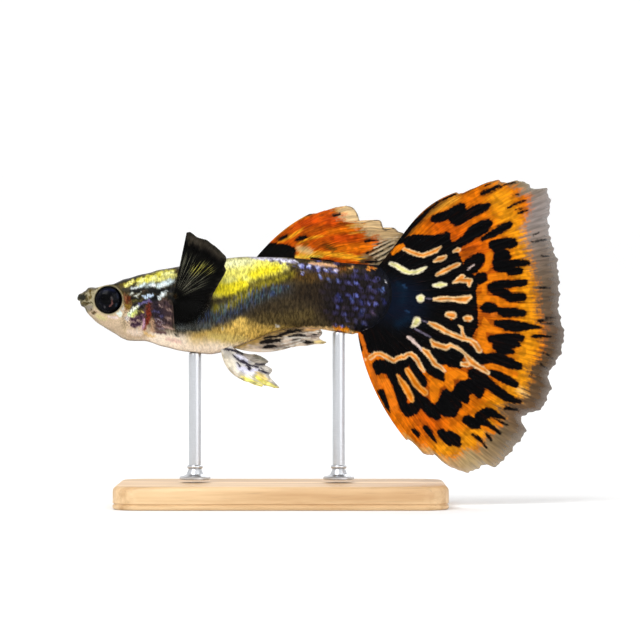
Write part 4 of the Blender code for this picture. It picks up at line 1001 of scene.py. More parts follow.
def make_scales(grid, normal, finish):
    surface = Surface(grid, normal)
    random = np.random.default_rng(12)
    steps_along = np.linspace(0, 1, SCALE_STEPS_ALONG)
    steps_across = np.linspace(-1, 1, SCALE_STEPS_ACROSS)
    a, b = np.meshgrid(steps_along, steps_across, indexing="ij")
    along, across = scale_outline(a, b)
    tops = []
    for index, s in enumerate(scale_places()):
        pitch = scale_pitch(s)
        for row in range(index % 2, SCALE_ROWS, 2):
            share = (row + 0.5) / SCALE_ROWS
            if s < first_scale(share):
                continue
            root, _ = surface.at(np.array(s), np.array(share))
            if np.hypot(root[0] - TAIL_POLE[0], root[2] - TAIL_POLE[1]) > LAST_SCALE and s > TAIL_POLE[0]:
                continue
            size = 1 + 0.05 * random.standard_normal()
            step = 1.9 * pitch * size
            half = 1.05 * size / SCALE_ROWS
            local_s = s + step * (along - 0.12)
            local_v = share + half * across
            point, out = surface.at(local_s, local_v)
            lift = SCALE_LIFT * (along**1.2) - 0.02
            # The plate is crowned, so that each one catches the light
            crown = 0.03 * (1 - b**2) * np.sin(math.pi * np.clip(along, 0, 1))
            tone = random.uniform(-1, 1)
            # Scales of the tail stalk each carry a blue glint of their own strength, where they show
            seen_s, _, seen_h = point[int(0.8 * SCALE_STEPS_ALONG), SCALE_STEPS_ACROSS // 2]
            first_glint = 26.0 - 2.5 * smoothstep(1.5, 3.0, seen_h)
            glint = random.uniform(0.25, 1.0) ** 2.4
            glint = glint * smoothstep(first_glint - 1.5, first_glint + 1.5, seen_s)
            glint *= 1 - stalk_end(seen_s, seen_h)
            on_scale = np.stack((a, b, np.full(a.shape, glint)), -1)
            tops.append((point + out * (lift + crown)[..., None], out, on_scale, tone, s, share))
    for name, chosen in zip(SCALE_PIECES, np.array_split(np.arange(len(tops)), len(SCALE_PIECES))):
        join_scales(name, [tops[k] for k in chosen], finish)


def join_scales(name, tops, finish):
    rows, columns = SCALE_STEPS_ALONG, SCALE_STEPS_ACROSS
    count = rows * columns
    faces = closed_sheet_faces(rows, columns)
    places, all_faces, uv, plates, tones = [], [], [], [], []
    a, b = np.meshgrid(np.linspace(0, 1, rows), np.linspace(0, 1, columns), indexing="ij")
    patch = np.stack((a, b), -1).reshape(-1, 2) * PATCH
    for k, (top, out, on_scale, tone, s, share) in enumerate(tops):
        bottom = top - out * SCALE_THICKNESS
        places.append(np.concatenate((top.reshape(-1, 3), bottom.reshape(-1, 3))))
        all_faces.append(faces + k * 2 * count)
        corner = np.array((MAP_MARGIN + MAP_SPAN * s / MAP_LENGTH, MAP_MARGIN + MAP_SPAN * share))
        uv.append(np.concatenate((patch, patch)) + corner)
        plates.append(np.concatenate((on_scale.reshape(-1, 3), on_scale.reshape(-1, 3))))
        tones.append(np.full(2 * count, tone))
    places = np.concatenate(places)
    s, y, h = places.T
    paint = paint_body(s, y, h)
    # The belly is smoothly coloured, the flank and the stalk are mottled
    mottle = 0.2 + 0.8 * np.maximum(smoothstep(-4.4, -2.8, h), smoothstep(13.5, 18.0, s))
    mottle *= 1 - 0.35 * smoothstep(110, 180, paint.mean(-1))
    coat = mesh_object(
        name, places, np.concatenate(all_faces),
        paint={"paint": paint},
        numbers={"tone": np.concatenate(tones), "mottle": mottle, "blue": blue_band(s, h)},
        vectors={"on_scale": np.concatenate(plates)},
        uv=np.concatenate(uv),
    )
    finish_piece(coat, finish)


# Fins

# What each point of a fin carries: colours, and numbers with their values where nothing is painted
FIN_PAINTS = ("paint", "ink_paint", "light_paint", "edge_paint", "glow_paint")
FIN_NUMBERS = {"ink": FAR, "light": FAR, "edge": FAR, "solid": 1.0, "glow": 0.0}


class Fin:
    """A thin closed fin on a grid. u runs across its rays and t out along them, both from 0 to 1."""

    def __init__(self, name, middle, thickness, columns, rows, streak_length=2.0, streak_count=40):
        self.name, self.columns, self.rows = name, columns, rows
        self.t, self.u = np.meshgrid(np.linspace(0, 1, rows), np.linspace(0, 1, columns), indexing="ij")
        self.places = np.stack(middle(self.u, self.t), -1)
        normal = grid_normals(self.places)
        half = thickness(self.u, self.t)[..., None] / 2
        self.sheets = (self.places + normal * half, self.places - normal * half)
        self.x, self.y = drawing_x(self.places[..., 0]), drawing_y(self.places[..., 2])
        self.brush_x, self.brush_y = self.streaked(streak_length, streak_count)
        # How far each point is from the tips, along its ray, in drawing units
        self.to_edge = (1 - self.t) * np.hypot(np.diff(self.x, axis=0), np.diff(self.y, axis=0)).sum(0)
        shape = self.x.shape
        self.paint = {key: np.zeros(shape + (3,)) for key in FIN_PAINTS}
        self.numbers = {key: np.full(shape, value) for key, value in FIN_NUMBERS.items()}

    def streaked(self, length, count):
        """Where the brush meets each point: shifted along its ray, so that colours end in streaks."""
        ahead_x, ahead_y = np.gradient(self.x, axis=0), np.gradient(self.y, axis=0)
        size = np.maximum(np.hypot(ahead_x, ahead_y), 1e-6)
        random = np.random.default_rng(21)
        shift = np.zeros(self.u.shape)
        for _ in range(WAVES):
            turns, phase, drift = random.uniform(0.3, 1.6), random.uniform(0, 7), random.uniform(-2, 2)
            shift += np.sin(2 * math.pi * count * turns * self.u + phase + drift * self.t)
        shift *= length / WAVES**0.5
        return self.x + shift * ahead_x / size, self.y + shift * ahead_y / size

    def build(self, finish, slot_name, *nodes):
        count = self.rows * self.columns
        faces = closed_sheet_faces(self.rows, self.columns)
        places = np.concatenate([sheet.reshape(-1, 3) for sheet in self.sheets])

        def twice(values):
            flat = values.reshape(count, -1)
            return np.concatenate((flat, flat))

        along = np.stack((self.u, self.t, np.zeros_like(self.u)), -1)
        obj = mesh_object(
            self.name, places, faces,
            paint={key: twice(value) for key, value in self.paint.items()},
            numbers={key: twice(value) for key, value in self.numbers.items()},
            vectors={"along": twice(along)},
        )
        finish_piece(obj, finish)
        if nodes:
            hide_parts(*nodes)
        return obj


def rays(u, t, bundles, branches=2, width=0.2):
    """Height of the fin rays, 0 to 1: each bundle parts in two, and then again."""
    first, second = smoothstep(0.22, 0.42, t), smoothstep(0.5, 0.7, t) * (branches > 1)
    place = (u * bundles) % 1.0 - 0.5
    height = np.zeros(np.shape(u))
    for upper in (-1, 1):
        for lower in (-1, 1):
            at = upper * 0.25 * first + lower * 0.125 * second
            height = np.maximum(height, np.exp(-(((place - at) / (width * 0.25)) ** 2)))
    return height


def bend(start, control, end, t):
    return start * (1 - t) ** 2 + control * 2 * t * (1 - t) + end * t**2


def tail_reach(u):
    first, last = TAIL_EDGE[0][0], TAIL_EDGE[-1][0]
    edge = [((first - angle) / (first - last), reach) for angle, reach in TAIL_EDGE]
    frayed = sum(size * np.sin(2 * math.pi * turns * u + phase) for size, turns, phase in TAIL_FRAYS)
    return (curve(edge, u, 1, True) + frayed) * DRAWING_UNIT


def tail_middle(u, t):
    first, last = TAIL_EDGE[0][0], TAIL_EDGE[-1][0]
    root_turn = TAIL_ROOT_TURNS[0] + (TAIL_ROOT_TURNS[1] - TAIL_ROOT_TURNS[0]) * u
    tip_turn = first + (last - first) * u
    reach = TAIL_ROOT_RADIUS + (tail_reach(u) - TAIL_ROOT_RADIUS) * t
    # The solid's rays start further out, and bend by their own share of the length
    share = ((reach - SOLID_TAIL_ROOT) / (tail_reach(u) - SOLID_TAIL_ROOT)).clip(0, 1)
    upper = TAIL_SIDE_BOWS[0] * np.sin(math.pi * share**1.25) * (1 - smoothstep(0.0, 0.10, u))
    lower = TAIL_SIDE_BOWS[1] * (1 - share) ** 2 * smoothstep(0.86, 1.0, u)
    turn = np.radians(root_turn + (tip_turn - root_turn) * share**1.6 + upper + lower)
    ruffle = 0.55 * np.sin(2 * math.pi * (2.6 * u + 0.15)) * share**2
    ripple = 0.05 * np.sin(2 * math.pi * (9.3 * u + 0.4)) * smoothstep(0.5, 1.0, share)
    swing = -0.9 * share**1.5 + 0.5 * np.sin(math.pi * u) * share
    return TAIL_POLE[0] + reach * np.cos(turn), ruffle + ripple + swing, TAIL_POLE[1] + reach * np.sin(turn)


def tail_thickness(u, t):
    root = 0.5 * np.sqrt(np.clip(1 - (2 * u - 1) ** 2, 0, 1)) * (1 - smoothstep(0.0, 0.16, t))
    ridges = 0.11 * rays(u, t, TAIL_RAYS) * smoothstep(0.03, 0.15, t)
    return 0.17 + root + ridges - 0.09 * smoothstep(0.7, 1.0, t)


def make_tail(finish):
    fin = Fin("tail_fin", tail_middle, tail_thickness, columns=TAIL_RAYS * 22 + 1, rows=190,
              streak_length=3.0, streak_count=110)
    ds, dh = fin.places[..., 0] - TAIL_POLE[0], fin.places[..., 2] - TAIL_POLE[1]
    radius = np.hypot(ds, dh) / DRAWING_UNIT
    angle = np.degrees(np.arctan2(dh, ds))
    canvas = Canvas(fin.brush_x, fin.brush_y, TAIL_GROUND, waver=0.4)
    canvas.washes(TAIL_WASHES)
    fin.paint["paint"] = canvas.colour
    ink = Canvas(fin.x, fin.y, TAIL_INK)
    ink.washes(TAIL_INK_WASHES)
    fin.paint["ink_paint"] = ink.colour
    inner = radius - curve(TAIL_INNER_DARK, angle)
    fin.numbers["ink"] = np.minimum(strokes_gap(fin.x, fin.y, TAIL_BLACK), inner)
    light = Canvas(fin.x, fin.y, ORANGE)
    best = np.full(fin.x.shape, FAR)
    for edge_colour, middle_colour, *strokes in TAIL_LIGHT:
        for stroke in strokes:
            gap = stroke_gap(fin.x, fin.y, stroke)
            depth = 0.45 * max(point[2] for point in stroke)
            nearer = gap < best
            share = 1 - smoothstep(-1.0, 1.0, gap + depth)[..., None]
            colour = np.asarray(edge_colour) * (1 - share) + np.asarray(middle_colour) * share
            light.colour = np.where(nearer[..., None], colour, light.colour)
            best = np.minimum(best, gap)
    fin.paint["light_paint"] = light.colour
    fin.numbers["light"] = best
    width = curve(TAIL_MARGIN, angle)
    to_edge = (1 - fin.t) * (tail_reach(fin.u) - TAIL_ROOT_RADIUS) / DRAWING_UNIT
    fin.numbers["edge"] = to_edge - width
    fin.paint["edge_paint"] = np.stack([curve(TAIL_MARGIN, angle, column) for column in (2, 3, 4)], -1)
    fin.numbers["solid"] = smoothstep(-0.35, 1.0, to_edge / np.maximum(width, 1.0))
    return fin.build(finish, "tail_fin", "fin_tail")


# Dorsal fin

DORSAL_ROOT = (18.2, 24.9)
DORSAL_TIPS = (
    (23.89, 8.87), (24.87, 8.98), (26.21, 9.37), (27.35, 9.63), (28.24, 9.55), (28.79, 8.93), (29.19, 7.98),
    (30.13, 8.10), (31.15, 8.14), (31.47, 7.42), (31.82, 7.21), (32.60, 7.36), (33.04, 7.03), (33.60, 6.80),
    (33.50, 6.30), (32.95, 5.50), (32.10, 4.45), (30.95, 3.42),
)
DORSAL_BULGE = ((20.75, 7.35), (22.6, 8.3), (24.2, 8.0), (25.6, 6.7), (27.9, 3.55))
DORSAL_GROUND = (216, 90, 6)
DORSAL_INK = (7, 7, 6)
DORSAL_LINE = (112, 98, 80)
DORSAL_LIGHT = (232, 208, 172)
DORSAL_MARGIN = (226, 192, 140)
DORSAL_REAR_MARGIN = (140, 122, 92)
DORSAL_WASHES = (
    ((228, 84, 10), 4, ((328, 220, 5), (338, 222, 6)), ((300, 224, 4), (316, 221, 4)),
     ((336, 238, 5), (356, 236, 4))),
    ((186, 84, 10), 3, ((304, 232, 3), (318, 230, 3)), ((318, 244, 3), (334, 247, 4)),
     ((340, 223, 3), (347, 226, 2))),
    ((255, 128, 10), 3, ((328, 232, 3), (350, 229, 3), (365, 226, 2.5)), ((340, 249, 5), (372, 246, 4))),
    ((253, 172, 34), 1.5, ((269, 241, 1.5), (283, 229.5, 1.8), (297, 220, 1.4), (309, 215, .9)),
     ((280, 241, 1.6), (292, 236, 1.8), (302, 229.5, 1.2)),
     ((298, 243, 1), (310, 238, 1.4), (322, 236, 1.2)),
     ((300, 252, 2), (330, 254, 2.5), (352, 257, 3), (368, 260, 2.5))),
    ((226, 186, 124), 1.8, ((298, 248.5, 3), (306, 250, 3.4), (311, 252, 2.4))),
    ((250, 214, 74), 1.2, ((294, 257, 1.6), (308, 257, 2), (322, 256.5, 1.2))),
    ((120, 72, 12), 2, ((327, 246, 2), (333, 249.5, 2.4)), ((364, 229, 1.6), (371, 228, 1.6)),
     ((301, 241, 1), (307, 244, 1.4))),
    ((226, 178, 92), 2.5, ((337, 211, 2), (346, 209.5, 2.6), (352, 211, 2.4))),
    ((206, 178, 136), 2.5, ((350, 219, 3), (356, 217, 3)), ((352, 226, 1.5), (360, 224, 2))),
    ((192, 168, 128), 3, ((368, 235, 3), (374, 229, 4.5), (381, 228, 4))),
    ((236, 202, 156), 2, ((384, 236, 2.4), (391, 232, 3), (396, 231, 2.4)), ((393, 239, 2), (401, 235, 2))),
    ((236, 170, 60), 1.5, ((347, 225.5, .8), (360, 226, 1.2), (371, 223, .8)),
     ((350, 233, 1), (362, 231.5, 1))),
    ((150, 124, 84), 3, ((364, 257, 3), (374, 254, 4), (386, 247, 3))),
    ((58, 50, 38), 3, ((362, 262, 2), (374, 259.5, 3), (384, 256, 2.4))),
)
# Width of the pale fringe of the tips, in drawing units
DORSAL_FRINGE = ((0, 0.5), (0.14, 1.5), (0.2, 9), (0.3, 14), (0.4, 12), (0.55, 18), (0.7, 22), (0.85, 18),
                 (1, 10))
DORSAL_PALE = (
    ((370, 254.6, .4), (381, 249, .6), (394, 241.8, .5)),
    ((374, 257.6, .4), (384, 252.5, .6), (394, 246.4, .5)),
    ((378, 260.4, .4), (386, 256.4, .5)), ((374, 248, .4), (384, 243, .6), (398, 236.6, .5)),
    ((380, 241.6, .4), (390, 237.4, .5)),
)
DORSAL_BLACK = (
    ((367, 253, .9), (378, 247.6, 1.1), (390, 241.6, .7)),
    ((370, 256.5, .7), (382, 250.6, .9), (393, 244.5, .6)),
    ((375, 259.5, .8), (384, 254.8, .7), (392, 249, .5)),
    ((366, 262, 1.2), (376, 261.6, 1.6), (384, 259.6, 1)),
    ((256, 253.6, 1.4), (264, 248.6, 4.2), (271, 248, 5.2), (282, 249.5, 6), (291, 251.5, 5.2)),
    ((256, 256, 3), (266, 256, 4.5), (280, 257, 4.5), (291, 258, 4)), ((258, 253.5, 3), (274, 252.5, 4)),
    ((279, 240, 1.4), (283, 237.5, 2), (286, 236.5, 1.4)),
    ((296, 240, 1.2), (301, 238, 2.2), (306, 236.5, 1.4)),
    ((306.5, 215.2, .8), (311, 214, .7)), ((334, 215.8, 1.2), (340, 214, 1)),
    # Painted shade: a dark line in the gap between the fin's lower edge and the back
    ((311, 258.4, 1.1), (320, 259.4, 1.2), (333, 261.6, .9)),
    ((365, 241.2, 1.4), (371, 240.2, 1.3), (378, 240.4, .6)),
    ((377, 244.6, .6), (388, 239.8, .6)),
)


def dorsal_middle(u, t):
    s = DORSAL_ROOT[0] + (DORSAL_ROOT[1] - DORSAL_ROOT[0]) * u
    root = curve(BACK_LINE, s) - 0.35
    tip_s, tip_h = along_list(DORSAL_TIPS, u)
    mid_s, mid_h = along_list(DORSAL_BULGE, u)
    lean = 0.45 * t**2 * np.sin(2 * math.pi * (1.3 * u + 0.2)) - 0.5 * t**2 * u
    # The rear edge passes behind the tail's upper edge
    lean += 0.75 * t * smoothstep(0.6, 1.0, u)
    return bend(s, mid_s, tip_s, t), lean, bend(root, mid_h, tip_h, t)


def plain_thickness(root, membrane, ridge, bundles):
    """The thickness of a small fin: a fleshy root, a thin web and its rays."""

    def thickness(u, t):
        flesh = (root - membrane) * (1 - smoothstep(0.0, 0.22, t))
        ridges = ridge * rays(u, t, bundles, 1) * smoothstep(0.03, 0.15, t)
        return membrane + flesh + ridges - 0.08 * smoothstep(0.7, 1, t)

    return thickness


def make_dorsal(finish):
    thickness = plain_thickness(root=0.5, membrane=0.18, ridge=0.11, bundles=9)
    fin = Fin("dorsal_fin", dorsal_middle, thickness, columns=235, rows=130, streak_length=2.2, streak_count=38)
    canvas = Canvas(fin.brush_x, fin.brush_y, DORSAL_GROUND, waver=0.3)
    canvas.washes(DORSAL_WASHES)
    fin.paint["paint"] = canvas.colour
    # A thin brown-grey line goes round the tips
    tips = smoothstep(0.12, 0.2, fin.u)
    line = (1 - smoothstep(1.0, 2.5, fin.to_edge))[..., None]
    fin.paint["ink_paint"] = (1 - line) * np.array(DORSAL_INK) + line * np.array(DORSAL_LINE)
    fin.numbers["ink"] = np.minimum(strokes_gap(fin.x, fin.y, DORSAL_BLACK), fin.to_edge + 1.2 - 2.0 * tips)
    fin.paint["light_paint"][...] = DORSAL_LIGHT
    fin.numbers["light"] = strokes_gap(fin.x, fin.y, DORSAL_PALE)
    rear = smoothstep(0.72, 0.92, fin.u)[..., None]
    fin.paint["edge_paint"] = (1 - rear) * np.array(DORSAL_MARGIN) + rear * np.array(DORSAL_REAR_MARGIN)
    fin.numbers["edge"] = fin.to_edge - curve(DORSAL_FRINGE, fin.u)
    fin.numbers["solid"] = smoothstep(-1.2, 1.0, (1 - fin.t) * 5)
    return fin.build(finish, "dorsal_fin", "fin_dorsal")


# Pectoral fins

# Angle in degrees and reach in mm of the left fan's edge
PECTORAL_EDGE = (
    (77.6, 7.0), (75.0, 7.12), (72.0, 7.02), (68.0, 6.86), (63.0, 6.93), (60.0, 7.03), (55.0, 6.98),
    (50.0, 7.0),
    (44.0, 7.0), (39.0, 7.02), (36.0, 6.85), (33.0, 6.35), (29.0, 6.28), (26.5, 6.0), (21.0, 5.25),
    (14.0, 4.6), (4.0, 4.05),
    (-10.0, 3.8), (-30.0, 3.7), (-50.0, 3.6), (-70.0, 3.45), (-84.0, 3.3),
)
PECTORAL_ROOT = 0.25
# How far from the pole the solid's rays start
SOLID_PECTORAL_ROOT = 0.62
PECTORAL_GROUND = (8, 8, 7)
PECTORAL_MARGIN = (66, 60, 50)
PECTORAL_SHINE = (146, 144, 122)
YELLOW_SHINE = (228, 220, 104)
AMBER_SHINE = (170, 120, 40)
PECTORAL_WASHES = (
    ((62, 56, 47), 4, ((190, 237, 3), (200, 243, 4), (212, 248, 3), (221, 257, 3))),
    ((60, 54, 44), 1.5, ((203, 246, .8), (201, 250, .6)), ((192, 240, 1), (191, 246, .8))),
    ((70, 66, 56), 1.5, ((186, 236, .8), (183, 250, .6)), ((222, 252, 1), (225, 258, 1))),
)
PECTORAL_LOW_WASHES = (
    ((74, 80, 84), 4, ((180, 328, 3), (196, 329, 3), (208, 324, 2.5))),
    ((34, 34, 28), .8, ((178, 330.5, 1.4),), ((194.5, 330, 1.4),), ((200.5, 331, 1),)),
)
# Where the rays shine yellow, and where they shine amber
PECTORAL_YELLOW = (((196, 270, 2), (204, 267, 3), (211, 270, 2)),)
PECTORAL_AMBER = (((172, 297, 1), (177, 296, 1.5)),)


def section_width(s, h):
    """Half the body's width at a height, as an array."""
    back, belly, half, upper, lower, widest = section_values(s)
    over = h >= widest
    power = np.where(over, upper, lower)
    reach = np.where(over, back - widest, widest - belly)
    share = np.minimum(np.abs(h - widest) / reach, 1.0)
    return half * (1 - share**power) ** (1 / power)


def pectoral_edge(side):
    if side < 0:
        return PECTORAL_EDGE
    first, last = PECTORAL_EDGE[0][0], PECTORAL_EDGE[-1][0]
    return tuple((24.0 - (first - a) / (first - last) * 96.0, reach) for a, reach in PECTORAL_EDGE)


def pectoral_middle(side):
    edge = pectoral_edge(side)
    first, last = edge[0][0], edge[-1][0]
    rise = 0.30 if side < 0 else 0.42

    def middle(u, t):
        angle = first + (last - first) * u
        # The solid spreads its rays by their place in the list, which sets how far out each one stands
        solid_u = (first - angle) / (first - last)
        turn = np.radians(angle)
        reach = PECTORAL_ROOT + (curve(edge, angle) - PECTORAL_ROOT) * t
        s = PECTORAL_POLE[0] + reach * np.cos(turn)
        h = PECTORAL_POLE[1] + reach * np.sin(turn)
        root_s = PECTORAL_POLE[0] + SOLID_PECTORAL_ROOT * np.cos(turn)
        root_h = PECTORAL_POLE[1] + SOLID_PECTORAL_ROOT * np.sin(turn)
        flank = section_width(root_s, root_h) + 0.40 * smoothstep(0.2, 0.9, reach) + 0.02
        steepness = rise + 0.75 * smoothstep(0.45, 1.0, solid_u)
        outward = steepness * np.maximum(reach - SOLID_PECTORAL_ROOT, 0)
        ruffle = 0.10 * np.sin(2 * math.pi * 3.0 * u) * t**2
        return s, side * (flank + outward + ruffle), h

    return middle


def make_pectoral(side, word, finish):
    """A large dark fan. Both are coloured by their places on the left one."""
    thickness = plain_thickness(root=0.34, membrane=0.16, ridge=0.11, bundles=14)
    fin = Fin(f"pectoral_fin_{word}", pectoral_middle(side), thickness, columns=14 * 12 + 1, rows=90)
    left = Fin("pattern", pectoral_middle(-1), thickness, fin.columns, fin.rows)
    canvas = Canvas(left.x, left.y, PECTORAL_GROUND)
    canvas.washes(PECTORAL_WASHES)
    canvas.washes(PECTORAL_LOW_WASHES)
    fin.paint["paint"] = canvas.colour
    low = np.maximum(
        smoothstep(312, 330, left.y) * smoothstep(0.4, 0.95, fin.t),
        0.8 * smoothstep(292, 312, left.y) * smoothstep(0.62, 0.98, fin.t),
    )
    fin.numbers["solid"] = 1 - 0.9 * low
    turn = np.degrees(np.arctan2(drawing_y(PECTORAL_POLE[1]) - left.y, left.x - drawing_x(PECTORAL_POLE[0])))
    fan = smoothstep(14, 36, turn) * smoothstep(0.12, 0.25, fin.t) * (1 - smoothstep(0.5, 0.8, fin.t))
    yellow = 1 - smoothstep(-2, 7, strokes_gap(left.x, left.y, PECTORAL_YELLOW))
    amber = 1 - smoothstep(-1, 3, strokes_gap(left.x, left.y, PECTORAL_AMBER))
    fin.numbers["glow"] = np.maximum(fan, np.maximum(yellow, 0.7 * amber))
    glow = Canvas(left.x, left.y, PECTORAL_SHINE)
    glow.blend(yellow, YELLOW_SHINE)
    glow.blend(amber, AMBER_SHINE)
    fin.paint["glow_paint"] = glow.colour
    fin.paint["edge_paint"][...] = PECTORAL_MARGIN
    fin.numbers["edge"] = fin.to_edge + 2.0
    return fin.build(finish, "dark_fin", f"fin_pectoral_{word}")


# Pelvic and anal fins

PELVIC_TIPS = {
    "left": ((18.0, -8.35), (19.0, -8.85), (19.25, -8.72), (20.75, -9.05), (20.35, -8.5), (19.75, -7.75),
             (20.05, -7.3),
             (19.75, -6.95)),
    "right": ((19.3, -8.0), (19.9, -7.5), (19.95, -7.1), (19.3, -6.75), (19.45, -6.5), (19.6, -6.3),
              (18.9, -5.85),
              (18.2, -5.6)),
}
PELVIC_BULGE = {
    "left": ((15.1, -8.0), (16.8, -7.9), (17.4, -7.2), (17.6, -6.6)),
    "right": ((15.3, -7.5), (16.8, -7.1), (17.3, -6.5), (16.9, -5.8)),
}
PELVIC_ROOT = (14.75, 15.75)
PELVIC_OUT = 0.75
# These fins hang in the body's shade, so their paint is brighter
PELVIC_LIFT = 1.12
PELVIC_WASHES = (
    ((206, 190, 162), 2, ((221, 353, 1.2), (226, 364, 1.4), (234, 375, 1.4), (243, 378, 1))),
    ((232, 222, 202), 3, ((226, 358, 3), (234, 368, 3), (244, 374, 3))),
    ((214, 214, 236), 2.5, ((238, 356, 2.5), (246, 362, 3)), ((240, 368, 3), (250, 371, 3), (258, 370, 2))),
    ((240, 238, 250), 1.5, ((241, 356.5, 1.5), (243, 358, 1.2)), ((244, 372, 1.5), (252, 373, 1.5))),
    ((198, 182, 158), 2, ((236, 350, 1.5), (250, 353, 2), (262, 357, 2.4))),
    ((168, 166, 150), 2, ((256, 357, 1.4), (264, 360, 2))),
    ((253, 236, 104), 1.6, ((243, 377.5, 1.2), (252, 382, 2), (263, 385.5, 1.2)),
     ((257, 377, 2.2), (266, 383, 2.4), (278, 388, 1))),
    ((238, 208, 122), 2, ((258, 373, 1.4), (264, 377, 1.8), (267, 379, 1.2))),
    ((255, 250, 190), .9, ((248, 381, .5), (260, 384.5, .6)), ((262, 381, .6), (274, 386.5, .6))),
)
PELVIC_DARK = (
    ((225, 349, 1.2), (234, 350.5, 1.2), (241, 354, .9)),
    ((233, 355, .6), (239, 360, 1.2), (244, 362, 1.6), (250, 365.5, 1.2), (258, 367, .9)),
    ((246, 364, .8), (250, 368.5, 1.8)), ((256, 364, .8), (264, 364.5, 1.2)),
    ((259, 370, .9), (262, 371, .9), (268, 373.6, 1)),
    ((238, 363, .6), (240, 366.5, .8)), ((261, 368, .8), (263, 369.5, .8)),
)
ANAL_ROOT = (15.7, 20.4)
ANAL_TIPS = (
    (21.4, -4.98), (22.0, -4.78), (23.0, -4.55), (24.4, -4.5), (25.6, -4.38), (25.1, -4.12), (24.9, -3.85),
    (25.2, -3.4), (24.9, -2.8),
)
ANAL_BULGE = ((18.7, -5.80), (20.4, -5.3), (21.5, -4.7), (21.9, -3.95), (22.3, -2.7))
ANAL_WASHES = (
    ((196, 158, 86), 4, ((232, 344, 6), (255, 339, 6), (280, 332, 4), (300, 329, 3))),
    ((120, 104, 88), 1, ((266, 343, .6), (300, 334, .8)), ((272, 349, .5), (292, 345, .7)),
     ((286, 341, .6), (322, 335, .6)), ((290, 333, .5), (322, 331, .6))),
    ((240, 232, 216), 1, ((276, 347.5, .7), (300, 341, .8)), ((284, 337.5, .5), (306, 334.5, .6))),
    ((186, 166, 146), 2, ((262, 347, 3), (285, 345, 3), (300, 340, 3))),
    ((232, 210, 188), 2, ((250, 346, 2), (262, 350, 1.6), (275, 351, 1.2))),
    ((226, 204, 186), 2, ((288, 340, 1.6), (300, 339, 1.4)), ((308, 334, 1.4), (320, 335, 1.2))),
    ((150, 132, 120), 1.4, ((300, 336, 1.6), (316, 337, 1.2)), ((278, 347, 1.5), (286, 347, 1.2))),
    ((252, 226, 150), 1.2, ((313, 342, 1), (320, 341.5, 1.6), (326, 342.5, 1))),
    ((236, 180, 110), 1.5, ((300, 330, 1), (316, 330, 1.6))),
)
ANAL_BLACK = (
    ((261, 342.6, 1.6), (269, 341, 2.7), (279, 340.2, 1.7)),
    ((264, 347.4, 1.4), (270, 346.4, 2.3), (276, 346.2, 1.3)),
    ((264, 338, 1.1), (273, 336.8, 1.5), (282, 335.4, .9)),
    ((280, 334.8, 1.1), (288, 332.2, 2.3), (297, 330.4, 1.8), (303, 330, 1)),
    ((289, 336.2, 1.1), (299, 335.2, 1.6), (305, 336, .9)),
    ((301, 341, 1.1), (308, 342.2, 2), (313, 342.4, 1.1)),
    ((312, 334.6, .9), (316, 334.8, .9)), ((318, 333.2, .8), (323, 333.4, .8)),
    ((292, 340.2, .7), (300, 338.6, .9)),
)
ANAL_PALE = (
    ((276, 349, .4), (290, 345.6, .6), (304, 341, .4)),
    ((284, 338.8, .4), (296, 337.6, .6), (310, 337.8, .4)),
    ((262, 350.4, .4), (275, 351.4, .6), (286, 349.4, .4)), ((286, 343, .4), (300, 339.8, .5)),
    ((281, 344, .3), (296, 341.4, .4)), ((306, 333, .4), (318, 331.6, .5)),
)


def under_at(s, y):
    """The height of the body's underside, y away from its middle."""
    _, belly, half, _, lower, widest = section_values(s)
    share = np.minimum(abs(y) / half, 1.0)
    return widest - (widest - belly) * (1 - share**lower) ** (1 / lower)


def pelvic_middle(side, word):
    def middle(u, t):
        s = PELVIC_ROOT[0] + (PELVIC_ROOT[1] - PELVIC_ROOT[0]) * u
        root = under_at(s, PELVIC_OUT) + 0.25
        tip_s, tip_h = along_list(PELVIC_TIPS[word], u)
        mid_s, mid_h = along_list(PELVIC_BULGE[word], u)
        spread = PELVIC_OUT + 1.1 * t * (1 - 0.35 * u) + 0.05 * np.sin(14 * u) * t
        return bend(s, mid_s, tip_s, t), side * spread, bend(root, mid_h, tip_h, t)

    return middle


def make_pelvic(side, word, finish):
    thickness = plain_thickness(root=0.36, membrane=0.15, ridge=0.10, bundles=6)
    fin = Fin(f"pelvic_fin_{word}", pelvic_middle(side, word), thickness, columns=121, rows=80,
              streak_length=2.0, streak_count=16)
    canvas = Canvas(fin.brush_x, fin.brush_y, (220, 214, 204), waver=0.3)
    canvas.washes(PELVIC_WASHES)
    fin.paint["paint"] = canvas.colour * PELVIC_LIFT
    fin.paint["ink_paint"][...] = (56, 52, 66)
    fin.numbers["ink"] = strokes_gap(fin.x, fin.y, PELVIC_DARK)
    fin.paint["edge_paint"][...] = (150, 142, 124)
    fin.numbers["edge"] = np.minimum(fin.to_edge, fin.u * 45) + 3.0
    fin.numbers["solid"] = smoothstep(-1.0, 1.0, (1 - fin.t) * 4)
    return fin.build(finish, "pale_fin", f"fin_pelvic_{word}")


def anal_middle(u, t):
    s = ANAL_ROOT[0] + (ANAL_ROOT[1] - ANAL_ROOT[0]) * u
    root = curve(BELLY_LINE, s) + 0.3
    tip_s, tip_h = along_list(ANAL_TIPS, u)
    mid_s, mid_h = along_list(ANAL_BULGE, u)
    return bend(s, mid_s, tip_s, t), 0.12 * t * np.sin(2 * math.pi * u), bend(root, mid_h, tip_h, t)


